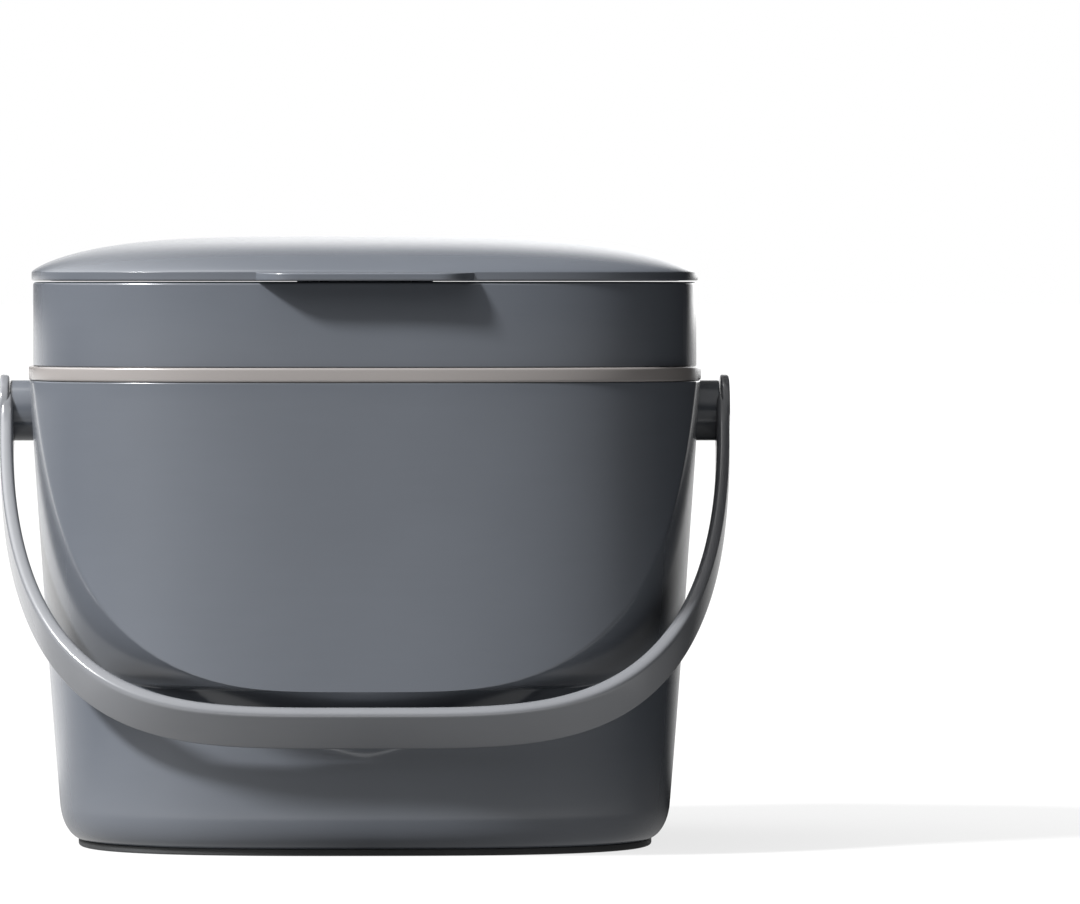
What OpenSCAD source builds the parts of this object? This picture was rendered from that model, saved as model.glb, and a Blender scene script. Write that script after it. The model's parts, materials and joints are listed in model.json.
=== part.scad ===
// Countertop compost caddy: a bucket with a swinging handle, a bag ring that drops into its
// mouth, and a hinged lid on a collar that stands on the ring.
// Millimetres. Z is up, the front is -Y, and the origin is the middle of the base.

/* [Bucket] */
// Width of the bucket at its rim
rim_width = 180; // [150:1:240]
// Depth of the bucket at its rim, front to back
rim_depth = 168; // [140:1:220]
// Height of the rim above the table
rim_height = 125; // [100:1:190]
// Width of the bucket just above its base
foot_width = 162.6; // [140:0.2:176]
// Depth of the bucket just above its base
foot_depth = 140; // [120:1:160]
// How far the sides bow out from a straight taper
side_bow = 0.5; // [0:0.1:1.5]
// How far the front and back panels lean in from the rim to their lower edge
panel_lean = 1; // [0:0.1:3]
// How much wider than the rim the curve of the front and back panels would run uncut
panel_span = 10; // [4:1:60]
// How much deeper than the rim the curve of the side walls would run uncut
side_span = 76; // [40:1:120]
// Height of the lower edge of the front and back panels, where the recess starts
panel_edge_z = 44; // [36:1:60]
// Height of the slope that leads from the panel edge into the recess
recess_slope_h = 18; // [12:1:24]
// Wall thickness at the rim
rim_wall = 1.5; // [1.2:0.1:2]
// Wall thickness at the foot
foot_wall = 2.2; // [1.6:0.1:3]
// Thickness of the floor
floor_t = 2.2; // [1.6:0.1:4]
// Height of the rounded lower edge
foot_round_h = 9; // [6:0.5:14]
// How far the rounded lower edge turns in
foot_round_in = 5; // [3:0.5:8]

/* [Base pad] */
// Thickness of the non-slip pad
pad_t = 1.8; // [1:0.1:3]
// How far the pad stands out past the flat of the base
pad_lip = 0.8; // [0.3:0.1:1.5]

/* [Handle] */
// Gap between the rim and the arms of the handle
arm_gap = 4.6; // [4:0.1:9]
// Thickness of the handle band
band_t = 3.8; // [3.2:0.1:5]
// Width of the handle band
band_width = 14; // [10:0.5:16]
// Radius of the rounded edges of the band
band_round = 1.3; // [0.6:0.1:1.6]
// Radius of the round eyes at the ends of the handle
eye_r = 9.7; // [9:0.1:12]
// Thickness of the eyes
eye_t = 2.4; // [2:0.1:3]
// Radius of the bosses on the bucket that carry the handle
boss_r = 8.2; // [6.5:0.1:8.5]
// Radius of the handle's pivot pins
pivot_r = 3.5; // [2.5:0.1:4.5]
// Length of the handle's pivot pins
pivot_len = 5; // [3:0.5:5]
// Gap between a boss and the pocket in the eye round it
pocket_gap = 0.5; // [0.3:0.1:0.8]
// Gap between the end of a boss and the eye
eye_gap = 0.3; // [0.2:0.05:0.6]
// Radial clearance of a pivot pin in its boss
pivot_play = 0.06; // [0.03:0.01:0.09]
// Gap between the end of a pivot pin and the bottom of its bore
pivot_end_gap = 0.5; // [0.2:0.1:1]
// Distance from the rim down to the top of the bosses
boss_drop = 0.3; // [0.1:0.1:3]
// Gap that the handle keeps from the middle of the recess slope when it rests
rest_gap = 3.5; // [2:0.1:5]
// How far below the panel edge the middle of the resting handle hangs
rest_drop = 9.6; // [9:0.1:13]
// Room between the lid's lip and the handle as it swings past
swing_room = 4; // [2:0.5:8]

/* [Bag ring] */
// Thickness of the flange that rests on the rim
flange_t = 3.8; // [2.5:0.1:5]
// How far the flange stands out past the rim
flange_over = 0.3; // [0:0.1:1]
// Length of the skirt that drops inside the rim
skirt_h = 11; // [8:0.5:16]
// Clearance between the skirt and the rim's inner edge
skirt_gap = 0.6; // [0.4:0.05:1]
// How far the skirt tapers in towards its lower edge
skirt_taper = 0.7; // [0.6:0.1:1.5]
// How far the corner beads stand out from the skirt
bead_out = 0.3; // [0.1:0.05:0.3]
// Height of the corner beads
bead_h = 2.6; // [1.5:0.1:4]
// Distance from the flange down to the corner beads
bead_drop = 4.2; // [2:0.1:6]
// Width of each bead across the front
bead_run = 17.82; // [10:0.02:24]
// Distance from the side of the rim in to the end of a bead
bead_side_gap = 4.68; // [4:0.02:8]
// Wall thickness of the ring
ring_wall = 1.6; // [1.2:0.1:2.2]
// How far the upper wall's top edge stands in from its foot
top_in = 0.7; // [0:0.1:1.5]
// How far the upper wall draws in at its waist from its top edge
waist_in = 0.9; // [0.3:0.1:1.5]
// How far below the middle of the bag holes the waist lies
waist_drop = 1; // [0:0.1:3]
// Radius of the bag holes in the front and back
bag_hole_r = 6.2; // [4:0.1:7]
// Height of the bag holes above the flange
bag_hole_rise = 11.4; // [10:0.1:12]
// Width of the raised frame round a bag hole
hole_frame_w = 1.1; // [0.6:0.1:1.6]
// How far the frame stands out from the waist
hole_frame_out = 0.45; // [0.3:0.05:0.6]
// Width of the raised tab below a bag hole
tab_width = 16; // [10:0.5:24]
// Height of the raised tab below a bag hole
tab_h = 3.8; // [2:0.1:4]
// How far each end of the tab slopes in
tab_slope = 1; // [0.5:0.1:3]

/* [Lid collar] */
// Height of the collar
collar_h = 22.4; // [20:0.1:30]
// How far the collar stands in from the rim
collar_in = 0.9; // [0.5:0.1:1.5]
// Wall thickness of the collar
collar_wall = 1.3; // [1:0.1:1.5]
// Thickness of the collar's top deck
deck_t = 1.2; // [1:0.1:2]
// Width of the top deck from the collar's outer face
deck_width = 7.1; // [6:0.1:12]
// Clearance between the collar and the ring inside it
collar_gap = 0.4; // [0.35:0.05:0.8]

/* [Hinge] */
// Radius of the steel hinge pin
hinge_r = 1.25; // [1:0.05:1.5]
// Outer radius of the knuckle and the lugs
knuckle_r = 3; // [2.6:0.1:3.5]
// Length of the lid's knuckle
knuckle_len = 25.4; // [15:0.1:40]
// Width of each lug on the collar
lug_width = 6; // [4:0.5:10]
// Gap between the knuckle and the collar's outer face
hinge_gap = 1.2; // [0.8:0.1:2]
// How far the pin's axis lies below the lid's edge
hinge_drop = 0.2; // [0:0.1:0.4]
// Gap between the knuckle and each lug
lug_gap = 0.3; // [0.2:0.05:0.6]
// Radial clearance of the pin in the lid's knuckle
hinge_play = 0.06; // [0.03:0.01:0.09]
// Radial clearance of the pin in the lugs
lug_play = 0.02; // [0.01:0.01:0.03]

/* [Lid] */
// How far the lid stands in from the rim
lid_in = 0.5; // [0.2:0.1:0.8]
// Gap between the lid's edge and the collar
lid_gap = 0.4; // [0.35:0.05:0.6]
// Thickness of the lid's edge
lid_edge_t = 2.2; // [1.8:0.1:3]
// Rise of the dome above the edge
dome_h = 9.7; // [6:0.1:16]
// Thickness of the dome
lid_wall = 2; // [1.5:0.1:3]
// How far the opening lip stands out at the front
lip_out = 7; // [3:0.5:10]
// Width of the opening lip
lip_width = 56.8; // [40:0.2:80]
// Length over which the lip grows to its full reach at each end
lip_run = 10.8; // [6:0.2:16]

/* [Lid seal] */
// Width of the seal
seal_width = 2.8; // [2:0.1:4]
// Distance from the lid's edge to the seal's groove
seal_in = 4.4; // [4:0.1:5]
// Depth of the seal's groove
groove_depth = 1.6; // [1:0.1:1.8]
// Clearance between the seal and the outer side of its groove
seal_fit = 0.2; // [0.1:0.05:0.3]
// Step between the seal and the hollow of the dome
seal_land = 0.4; // [0.3:0.1:1]
// Clearance between the seal and the collar's deck when the lid is shut
seal_gap = 0.3; // [0.2:0.05:0.35]

/* [Hidden] */

$fn = 64;
EPS = 0.01;
OVERCUT = 1;
CHARCOAL = [0.37, 0.39, 0.41];
TAUPE = [0.58, 0.56, 0.54];
DARK_RUBBER = [0.12, 0.12, 0.13];
STEEL = [0.72, 0.72, 0.74];

// Outlines: superellipses. Each outline is the smaller of a panel curve and a side curve.
CURVE_N = 3;
CORNER_SOFT = 60;
SIDE_COLUMNS = 12;
PANEL_COLUMNS = 6;
QUARTER = SIDE_COLUMNS + PANEL_COLUMNS;
COLUMNS = 4 * QUARTER;
STEEPEST_CREASE = 75;

function superellipse_r(phi, a, b, n = CURVE_N) =
    pow(pow(abs(cos(phi)) / a, n) + pow(abs(sin(phi)) / b, n), -1 / n);
function soft_min(p, q) = p * pow(1 + pow(p / q, CORNER_SOFT), -1 / CORNER_SOFT);

// Angle of the crease, where the side curve [a2, b2] of power n crosses the panel curve [a1, b1].
CREASE_STEPS = 14;
function crease_angle(a1, b1, a2, b2, n = CURVE_N, low = 0, high = STEEPEST_CREASE, steps = CREASE_STEPS) =
    let (mid = (low + high) / 2)
    steps == 0 ? high
    : superellipse_r(mid, a2, b2, n) > superellipse_r(mid, a1, b1)
    ? crease_angle(a1, b1, a2, b2, n, low, mid, steps - 1)
    : crease_angle(a1, b1, a2, b2, n, mid, high, steps - 1);

// Angle of column j of one quarter, with a column on the crease.
function quarter_angle(j, crease) =
    j <= SIDE_COLUMNS ? crease * j / SIDE_COLUMNS
    : crease + (90 - crease) * (j - SIDE_COLUMNS) / PANEL_COLUMNS;
function column_angle(i, crease) =
    let (quarter = floor(i / QUARTER), j = i % QUARTER)
    quarter == 0 ? quarter_angle(j, crease)
    : quarter == 1 ? 180 - quarter_angle(QUARTER - j, crease)
    : quarter == 2 ? 180 + quarter_angle(j, crease)
    : 360 - quarter_angle(QUARTER - j, crease);

// Outline of the rim, set in by inset, and the same outline scaled about the middle.
rim_a = rim_width / 2;
rim_b = rim_depth / 2;
panel_a = (rim_width + panel_span) / 2;
side_b = (rim_depth + side_span) / 2;
RIM_CREASE = crease_angle(panel_a, rim_b, rim_a, side_b);
function rim_r(phi, inset) = soft_min(
    superellipse_r(phi, panel_a - inset, rim_b - inset),
    superellipse_r(phi, rim_a - inset, side_b - inset));
function rim_outline(inset, scale = 1) = [for (i = [0 : COLUMNS - 1])
    let (phi = column_angle(i, RIM_CREASE), r = scale * rim_r(phi, inset))
    [r * cos(phi), r * sin(phi)]];
function rim_ring(inset, z, scale = 1) = [for (p = rim_outline(inset, scale)) [p[0], p[1], z]];

// Outline of the bucket at height z: the panel curve cut back by the side curve, but no further in
// than the tub curve. wall sets it in, and foot is the height of its lower edge.
panel_low_b = rim_b - panel_lean;
foot_a = foot_width / 2;
foot_b = foot_depth / 2;
SIDE_RISE = 0.4;
SIDE_LOW_N = 1.8;
SIDE_N_RISE = 0.7;
function panel_share(z) = max(0, (z - panel_edge_z) / (rim_height - panel_edge_z));
function side_n(z) = SIDE_LOW_N + (CURVE_N - SIDE_LOW_N) * pow(panel_share(z), SIDE_N_RISE);
function side_a(z) = let (u = z / rim_height)
    foot_a + (rim_a - foot_a) * u + side_bow * 4 * u * (1 - u);
function recess_b(z) = z >= panel_edge_z
    ? panel_low_b + (side_b - panel_low_b) * pow(panel_share(z), SIDE_RISE)
    : let (t = max(0, 1 - (panel_edge_z - z) / recess_slope_h))
        foot_b + (panel_low_b - foot_b) * t * t * (2 - t);
function panel_b(z) = rim_b - panel_lean * min(1, (rim_height - z) / (rim_height - panel_edge_z));
function foot_inset(z, foot) = let (t = max(0, 1 - (z - foot) / foot_round_h))
    foot_round_in * (1 - sqrt(1 - t * t));
function bucket_ring(z, wall, foot) =
    let (inset = wall + foot_inset(z, foot),
         crease = crease_angle(panel_a, panel_b(z), side_a(z), recess_b(z), side_n(z)))
    [for (i = [0 : COLUMNS - 1])
        let (phi = column_angle(i, crease),
             panel = superellipse_r(phi, panel_a - inset, panel_b(z) - inset),
             side = superellipse_r(phi, side_a(z) - inset, recess_b(z) - inset, side_n(z)),
             tub = superellipse_r(phi, side_a(z) - inset, foot_b - inset),
             r = max(tub, min(panel, side)))
        [r * cos(phi), r * sin(phi), z]];
function wall_at(z) = rim_wall + (foot_wall - rim_wall) * (1 - z / rim_height);

// Closed skin through rings of points, lowest first, with flat ends.
module loft(rings) {
    last = (len(rings) - 1) * COLUMNS;
    polyhedron(
        points = [for (ring = rings) each ring],
        faces = concat(
            [[for (i = [0 : COLUMNS - 1]) i]],
            [for (k = [0 : len(rings) - 2], i = [0 : COLUMNS - 1])
                let (a = k * COLUMNS + i, b = k * COLUMNS + (i + 1) % COLUMNS)
                each [[a, a + COLUMNS, b], [b, a + COLUMNS, b + COLUMNS]]],
            [[for (i = [COLUMNS - 1 : -1 : 0]) last + i]]),
        convexity = 6);
}

module rim_slab(inset, z, height) {
    translate([0, 0, z]) linear_extrude(height) polygon(rim_outline(inset));
}

// Heights
foot_z = pad_t;
floor_z = foot_z + floor_t;
flange_top = rim_height + flange_t;
collar_top = flange_top + collar_h;
lid_z = collar_top + lid_gap;
dome_z = lid_z + lid_edge_t;

// Handle geometry, in the plane of the bail
arm_in = rim_a + arm_gap;
arm_out = arm_in + band_t;
eye_in = arm_out - eye_t;
boss_end = eye_in - eye_gap;
boss_root = rim_a - rim_wall - side_bow;
pivot_z = rim_height - boss_r - boss_drop;
BAIL_ACROSS = 4;
BAIL_ALONG = 2.45;
BAIL_STEPS = 40;
lid_corner_r = norm([rim_b + lip_out, dome_z - pivot_z]);
rest_y = (foot_b + panel_low_b) / 2 + rest_gap;
rest_z = panel_edge_z - rest_drop;
bail_reach = max(norm([rest_y, pivot_z - rest_z]), lid_corner_r + swing_room + band_t);
rest_angle = asin((pivot_z - rest_z) / bail_reach);

// Point of the bail where |x / x_end| ^ across + |y / reach| ^ along = 1, at x = x_end * sin(psi).
function bail_point(psi, x_end, reach) =
    [x_end * sin(psi), -reach * pow(max(0, 1 - pow(abs(sin(psi)), BAIL_ACROSS)), 1 / BAIL_ALONG)];

// Rounded corners of the band's section, as [share of the thickness, height across the width].
ROUND_STEPS = 3;
function band_section() = [for (corner = [[1, 1], [0, 1], [0, -1], [1, -1]], k = [0 : ROUND_STEPS - 1])
    let (sweep = 90 * k / (ROUND_STEPS - 1),
         turn = corner == [1, 1] ? sweep : corner == [0, 1] ? 90 + sweep
            : corner == [0, -1] ? 180 + sweep : 270 + sweep,
         share = band_round / band_t)
    [(corner[0] == 1 ? 1 - share : share) + share * cos(turn),
     corner[1] * (band_width / 2 - band_round) + band_round * sin(turn)]];

module bail_band() {
    section = band_section();
    count = len(section);
    points = [for (k = [0 : BAIL_STEPS])
        let (psi = 90 - 180 * k / BAIL_STEPS,
             inner = bail_point(psi, arm_in, bail_reach - band_t / 2),
             outer = bail_point(psi, arm_out, bail_reach + band_t / 2))
        for (s = section)
            let (p = inner + (outer - inner) * s[0])
            [p[0], p[1], s[1]]];
    last = BAIL_STEPS * count;
    polyhedron(
        points = points,
        faces = concat(
            [[for (i = [0 : count - 1]) i]],
            [for (k = [0 : BAIL_STEPS - 1], i = [0 : count - 1])
                let (a = k * count + i, b = k * count + (i + 1) % count)
                each [[a, a + count, b], [b, a + count, b + count]]],
            [[for (i = [count - 1 : -1 : 0]) last + i]]),
        convexity = 6);
}

// Bucket: outer skin less the inside, with a boss and a blind bore for each end of the handle.
FOOT_LEVELS = 5;
SLOPE_LEVELS = 6;
PANEL_LEVELS = 9;
LEVEL_CROWDING = 1.7;
recess_z = panel_edge_z - recess_slope_h;
function skin_heights(foot) = concat(
    [for (k = [0 : FOOT_LEVELS]) foot + foot_round_h * (1 - cos(90 * k / FOOT_LEVELS))],
    [for (k = [0 : SLOPE_LEVELS]) recess_z + recess_slope_h * k / SLOPE_LEVELS],
    [for (k = [1 : PANEL_LEVELS - 1])
        panel_edge_z + (rim_height - panel_edge_z) * pow(k / PANEL_LEVELS, LEVEL_CROWDING)]);

module bucket() {
    bore_depth = pivot_len - eye_gap + pivot_end_gap;
    color(CHARCOAL) difference() {
        union() {
            loft([for (z = concat(skin_heights(foot_z), [rim_height])) bucket_ring(z, 0, foot_z)]);
            for (side = [-1, 1]) translate([side * boss_root, 0, pivot_z])
                rotate([0, side * 90, 0]) cylinder(r = boss_r, h = boss_end - boss_root);
        }
        loft(concat(
            [for (z = skin_heights(floor_z)) bucket_ring(z, wall_at(z), floor_z)],
            [[for (p = bucket_ring(rim_height, rim_wall, floor_z)) p + [0, 0, OVERCUT]]]));
        for (side = [-1, 1]) translate([side * (boss_end - bore_depth), 0, pivot_z])
            rotate([0, side * 90, 0]) cylinder(r = pivot_r + pivot_play, h = bore_depth + OVERCUT);
    }
}

module base_pad() {
    inset = foot_round_in - pad_lip;
    color(DARK_RUBBER) linear_extrude(pad_t) polygon([for (i = [0 : COLUMNS - 1])
        let (phi = column_angle(i, STEEPEST_CREASE),
             r = superellipse_r(phi, side_a(foot_z) - inset, foot_b - inset))
        [r * cos(phi), r * sin(phi)]]);
}

module handle() {
    color(CHARCOAL) translate([0, 0, pivot_z]) rotate([rest_angle, 0, 0]) {
        difference() {
            union() {
                bail_band();
                for (side = [-1, 1]) translate([side * (eye_in + arm_out) / 2, 0, 0])
                    rotate([0, 90, 0]) cylinder(r = eye_r, h = eye_t, center = true);
            }
            rotate([0, 90, 0]) cylinder(r = boss_r + pocket_gap, h = 2 * eye_in, center = true);
        }
        for (side = [-1, 1]) translate([side * (eye_in + EPS), 0, 0])
            rotate([0, -side * 90, 0]) cylinder(r = pivot_r, h = pivot_len + EPS);
    }
}

// Bag ring
ring_top = collar_top - deck_t - collar_gap;
ring_waist_z = flange_top + bag_hole_rise - waist_drop;
flare_inset = collar_in + collar_wall + collar_gap;
top_inset = flare_inset + top_in;
waist_inset = top_inset + waist_in;
skirt_inset = rim_wall + skirt_gap;
RING_LEVELS = 5;
function ring_inset(z) = z <= ring_waist_z
    ? let (t = (ring_waist_z - z) / (ring_waist_z - flange_top))
        waist_inset - (waist_inset - flare_inset) * t * t
    : let (t = (z - ring_waist_z) / (ring_top - ring_waist_z))
        waist_inset - (waist_inset - top_inset) * t * t;
ring_heights = concat(
    [for (k = [0 : RING_LEVELS]) flange_top + (ring_waist_z - flange_top) * k / RING_LEVELS],
    [for (k = [1 : RING_LEVELS]) ring_waist_z + (ring_top - ring_waist_z) * k / RING_LEVELS]);

module ring_skin(shrink, low, high) {
    skirt_low = rim_height - skirt_h;
    loft(concat(
        low < skirt_low ? [rim_ring(skirt_inset + skirt_taper + shrink, low)] : [],
        [rim_ring(skirt_inset + skirt_taper + shrink, skirt_low),
         rim_ring(skirt_inset + shrink, rim_height + EPS),
         rim_ring(max(skirt_inset, ring_inset(flange_top)) + shrink, flange_top - 2 * EPS)],
        [for (z = ring_heights) rim_ring(ring_inset(z) + shrink, z)],
        high > ring_top ? [rim_ring(top_inset + shrink, high)] : []));
}

bead_z = rim_height - bead_drop - bead_h;
bead_to = rim_a - bead_side_gap;
bead_from = bead_to - bead_run;
module corner_beads() {
    bead_inset = skirt_inset + skirt_taper * (bead_drop + bead_h / 2) / skirt_h - bead_out;
    intersection() {
        difference() {
            rim_slab(bead_inset, bead_z, bead_h);
            rim_slab(bead_inset + bead_out + ring_wall / 2, bead_z - OVERCUT, bead_h + 2 * OVERCUT);
        }
        for (side = [-1, 1]) translate([side * (bead_from + bead_to) / 2, 0, bead_z + bead_h / 2])
            cube([bead_to - bead_from, rim_depth, bead_h + OVERCUT], center = true);
    }
}

// Raised frame round a bag hole, and the tab below it. side is -1 at the front and 1 at the back.
module bag_hole_trim(side) {
    waist_y = rim_b - waist_inset;
    root_y = waist_y - ring_wall / 2;
    tab_y = rim_b - flare_inset - EPS;
    translate([0, side * root_y, flange_top + bag_hole_rise]) rotate([-side * 90, 0, 0])
        cylinder(r = bag_hole_r + hole_frame_w, h = waist_y + hole_frame_out - root_y);
    translate([0, side * root_y, flange_top - EPS]) rotate([-side * 90, 0, 0])
        linear_extrude(tab_y - root_y) polygon([
            [-tab_width / 2, 0], [tab_width / 2, 0],
            [tab_width / 2 - tab_slope, -side * tab_h], [tab_slope - tab_width / 2, -side * tab_h]]);
}

module bag_ring() {
    color(TAUPE) difference() {
        union() {
            ring_skin(0, rim_height - skirt_h, ring_top);
            rim_slab(-flange_over, rim_height, flange_t);
            corner_beads();
            for (side = [-1, 1]) bag_hole_trim(side);
        }
        ring_skin(ring_wall, rim_height - skirt_h - OVERCUT, ring_top + OVERCUT);
        translate([0, 0, flange_top + bag_hole_rise]) rotate([90, 0, 0])
            cylinder(r = bag_hole_r, h = rim_depth, center = true);
    }
}

// Collar, with the lugs that hold the hinge pin behind it
hinge_y = rim_b - collar_in + hinge_gap + knuckle_r;
hinge_z = lid_z - hinge_drop;
lug_mid = knuckle_len / 2 + lug_gap + lug_width / 2;
pin_len = knuckle_len + 2 * (lug_gap + lug_width);

module along_hinge(r, length) {
    translate([0, hinge_y, hinge_z]) rotate([0, 90, 0]) cylinder(r = r, h = length, center = true);
}

module lug() {
    root_y = rim_b - collar_in - collar_wall / 2;
    low_y = hinge_y + knuckle_r * cos(45);
    low_z = hinge_z - knuckle_r * sin(45);
    along_hinge(knuckle_r, lug_width);
    translate([-lug_width / 2, 0, 0]) rotate([90, 0, 90]) linear_extrude(lug_width) polygon([
        [root_y, low_z - (low_y - root_y)], [low_y, low_z],
        [hinge_y, hinge_z], [root_y, collar_top - deck_t / 2]]);
}

module lid_collar() {
    color(CHARCOAL) difference() {
        union() {
            difference() {
                rim_slab(collar_in, flange_top, collar_h);
                rim_slab(collar_in + collar_wall, flange_top - OVERCUT, collar_h - deck_t + OVERCUT);
                rim_slab(collar_in + deck_width, flange_top, collar_h + OVERCUT);
            }
            for (side = [-1, 1]) translate([side * lug_mid, 0, 0]) lug();
        }
        along_hinge(hinge_r + lug_play, 2 * pin_len);
    }
}

module hinge_pin() {
    color(STEEL) along_hinge(hinge_r, pin_len);
}

// Lid
lid_front = rim_b - lid_in;
cavity_in = seal_in + seal_width + seal_land;
DOME_SHAPE = [1, 0.985, 0.96, 0.92, 0.86, 0.78, 0.68, 0.55, 0.4, 0.25];
DOME_FLATNESS = 4;
DOME_SHOULDER = 0.75;
function dome_top(s) = dome_z + dome_h * pow(1 - pow(s, DOME_FLATNESS), DOME_SHOULDER);
function lip_reach(x) = let (t = min(1, (lip_width / 2 - abs(x)) / lip_run))
    lip_out * (1 - pow(1 - t, 3));
function lid_edge_y(x) = lid_front * pow(1 - pow(abs(x) / (panel_a - lid_in), CURVE_N), 1 / CURVE_N);
LIP_STEPS = 32;

module lid_lip() {
    root = lid_front - seal_in / 2;
    translate([0, 0, lid_z]) linear_extrude(lid_edge_t) polygon(concat(
        [[-lip_width / 2, -root], [lip_width / 2, -root]],
        [for (k = [0 : LIP_STEPS])
            let (x = lip_width / 2 - lip_width * k / LIP_STEPS) [x, -lid_edge_y(x) - lip_reach(x)]]));
}

module lid_knuckle() {
    along_hinge(knuckle_r, knuckle_len);
    translate([-knuckle_len / 2, lid_front - seal_in, lid_z])
        cube([knuckle_len, hinge_y - lid_front + seal_in, hinge_z + knuckle_r - lid_z]);
}

module lid() {
    edge_scale = (rim_a - lid_in - cavity_in) / (rim_a - lid_in);
    color(CHARCOAL) difference() {
        union() {
            loft(concat([rim_ring(lid_in, lid_z)], [for (s = DOME_SHAPE) rim_ring(lid_in, dome_top(s), s)]));
            lid_lip();
            lid_knuckle();
        }
        rim_slab(lid_in + seal_in, lid_z - OVERCUT, groove_depth + OVERCUT);
        loft(concat([rim_ring(lid_in, lid_z, edge_scale)],
            [for (s = DOME_SHAPE * edge_scale) rim_ring(lid_in, dome_top(s) - lid_wall, s)]));
        along_hinge(hinge_r + hinge_play, 2 * knuckle_len);
    }
}

module lid_seal() {
    low = collar_top + seal_gap;
    height = lid_z + groove_depth - low;
    color(DARK_RUBBER) difference() {
        rim_slab(lid_in + seal_in + seal_fit, low, height);
        rim_slab(lid_in + seal_in + seal_width, low - OVERCUT, height + 2 * OVERCUT);
    }
}

bucket();
base_pad();
handle();
bag_ring();
lid_collar();
hinge_pin();
lid();
lid_seal();
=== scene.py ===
"""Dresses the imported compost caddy: bucket, swinging handle, bag ring, lid collar and hinged lid.

Lengths are in metres. Z is up, the front is -Y, and the origin is the middle of the base.
"""

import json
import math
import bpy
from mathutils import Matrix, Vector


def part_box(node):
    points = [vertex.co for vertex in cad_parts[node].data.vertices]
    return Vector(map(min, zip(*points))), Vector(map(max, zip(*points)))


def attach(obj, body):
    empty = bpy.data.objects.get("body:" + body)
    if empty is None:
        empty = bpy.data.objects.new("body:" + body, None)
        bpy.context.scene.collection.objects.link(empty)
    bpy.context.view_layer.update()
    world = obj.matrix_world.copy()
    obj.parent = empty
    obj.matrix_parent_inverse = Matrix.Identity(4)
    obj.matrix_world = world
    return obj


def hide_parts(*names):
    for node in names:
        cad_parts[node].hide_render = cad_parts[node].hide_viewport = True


bl_info = {
    "name": "Compost Caddy",
    "version": (1, 0, 0),
    "blender": (4, 5, 0),
    "location": "View3D > Sidebar > Caddy",
    "description": "Builds the surfaces, finishes and studio of a countertop compost caddy",
    "category": "Object",
}

import bpy
import numpy as np
from bpy.props import FloatProperty, FloatVectorProperty, PointerProperty
from mathutils import Vector

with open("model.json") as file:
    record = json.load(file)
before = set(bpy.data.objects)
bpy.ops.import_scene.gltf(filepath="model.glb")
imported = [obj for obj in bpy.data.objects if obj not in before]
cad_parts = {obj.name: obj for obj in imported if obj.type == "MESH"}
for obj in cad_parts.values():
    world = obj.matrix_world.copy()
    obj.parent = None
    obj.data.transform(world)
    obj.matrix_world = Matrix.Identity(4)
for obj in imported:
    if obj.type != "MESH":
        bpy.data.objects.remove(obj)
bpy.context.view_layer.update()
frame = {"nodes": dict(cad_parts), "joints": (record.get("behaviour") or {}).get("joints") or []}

MM = 0.001
TAU = 2 * math.pi
CURVE_POWER = 3

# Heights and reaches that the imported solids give
RIM_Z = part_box("bucket")[1].z
FOOT_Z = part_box("bucket")[0].z
BOSS_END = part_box("bucket")[1].x
ARM_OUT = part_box("handle")[1].x
SKIRT_LOW_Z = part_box("bag_ring")[0].z
RING_TOP_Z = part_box("bag_ring")[1].z
FLANGE_TOP_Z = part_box("lid_collar")[0].z
SEAL_LOW_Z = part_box("lid_seal")[0].z
SEAL_TOP_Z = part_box("lid_seal")[1].z
LID_TOP_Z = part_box("lid")[1].z
PIN_LOW, PIN_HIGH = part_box("hinge_pin")
HINGE_Y = (PIN_LOW.y + PIN_HIGH.y) / 2
HINGE_Z = (PIN_LOW.z + PIN_HIGH.z) / 2
PIVOT_Z = next(j["pos_m"][2] for j in frame["joints"] if j["name"] == "handle_swing")


# ---------------------------------------------------------------- settings


def length(name, description, millimetres):
    """A property that holds a length, with its default given in millimetres."""
    return FloatProperty(
        name=name, description=description, default=millimetres * MM, min=0.0, precision=5, unit="LENGTH"
    )


def colour(name, description, rgb):
    """A property that holds a linear colour."""
    return FloatVectorProperty(
        name=name, description=description, default=rgb, size=3, min=0.0, max=1.0, subtype="COLOR"
    )


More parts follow.
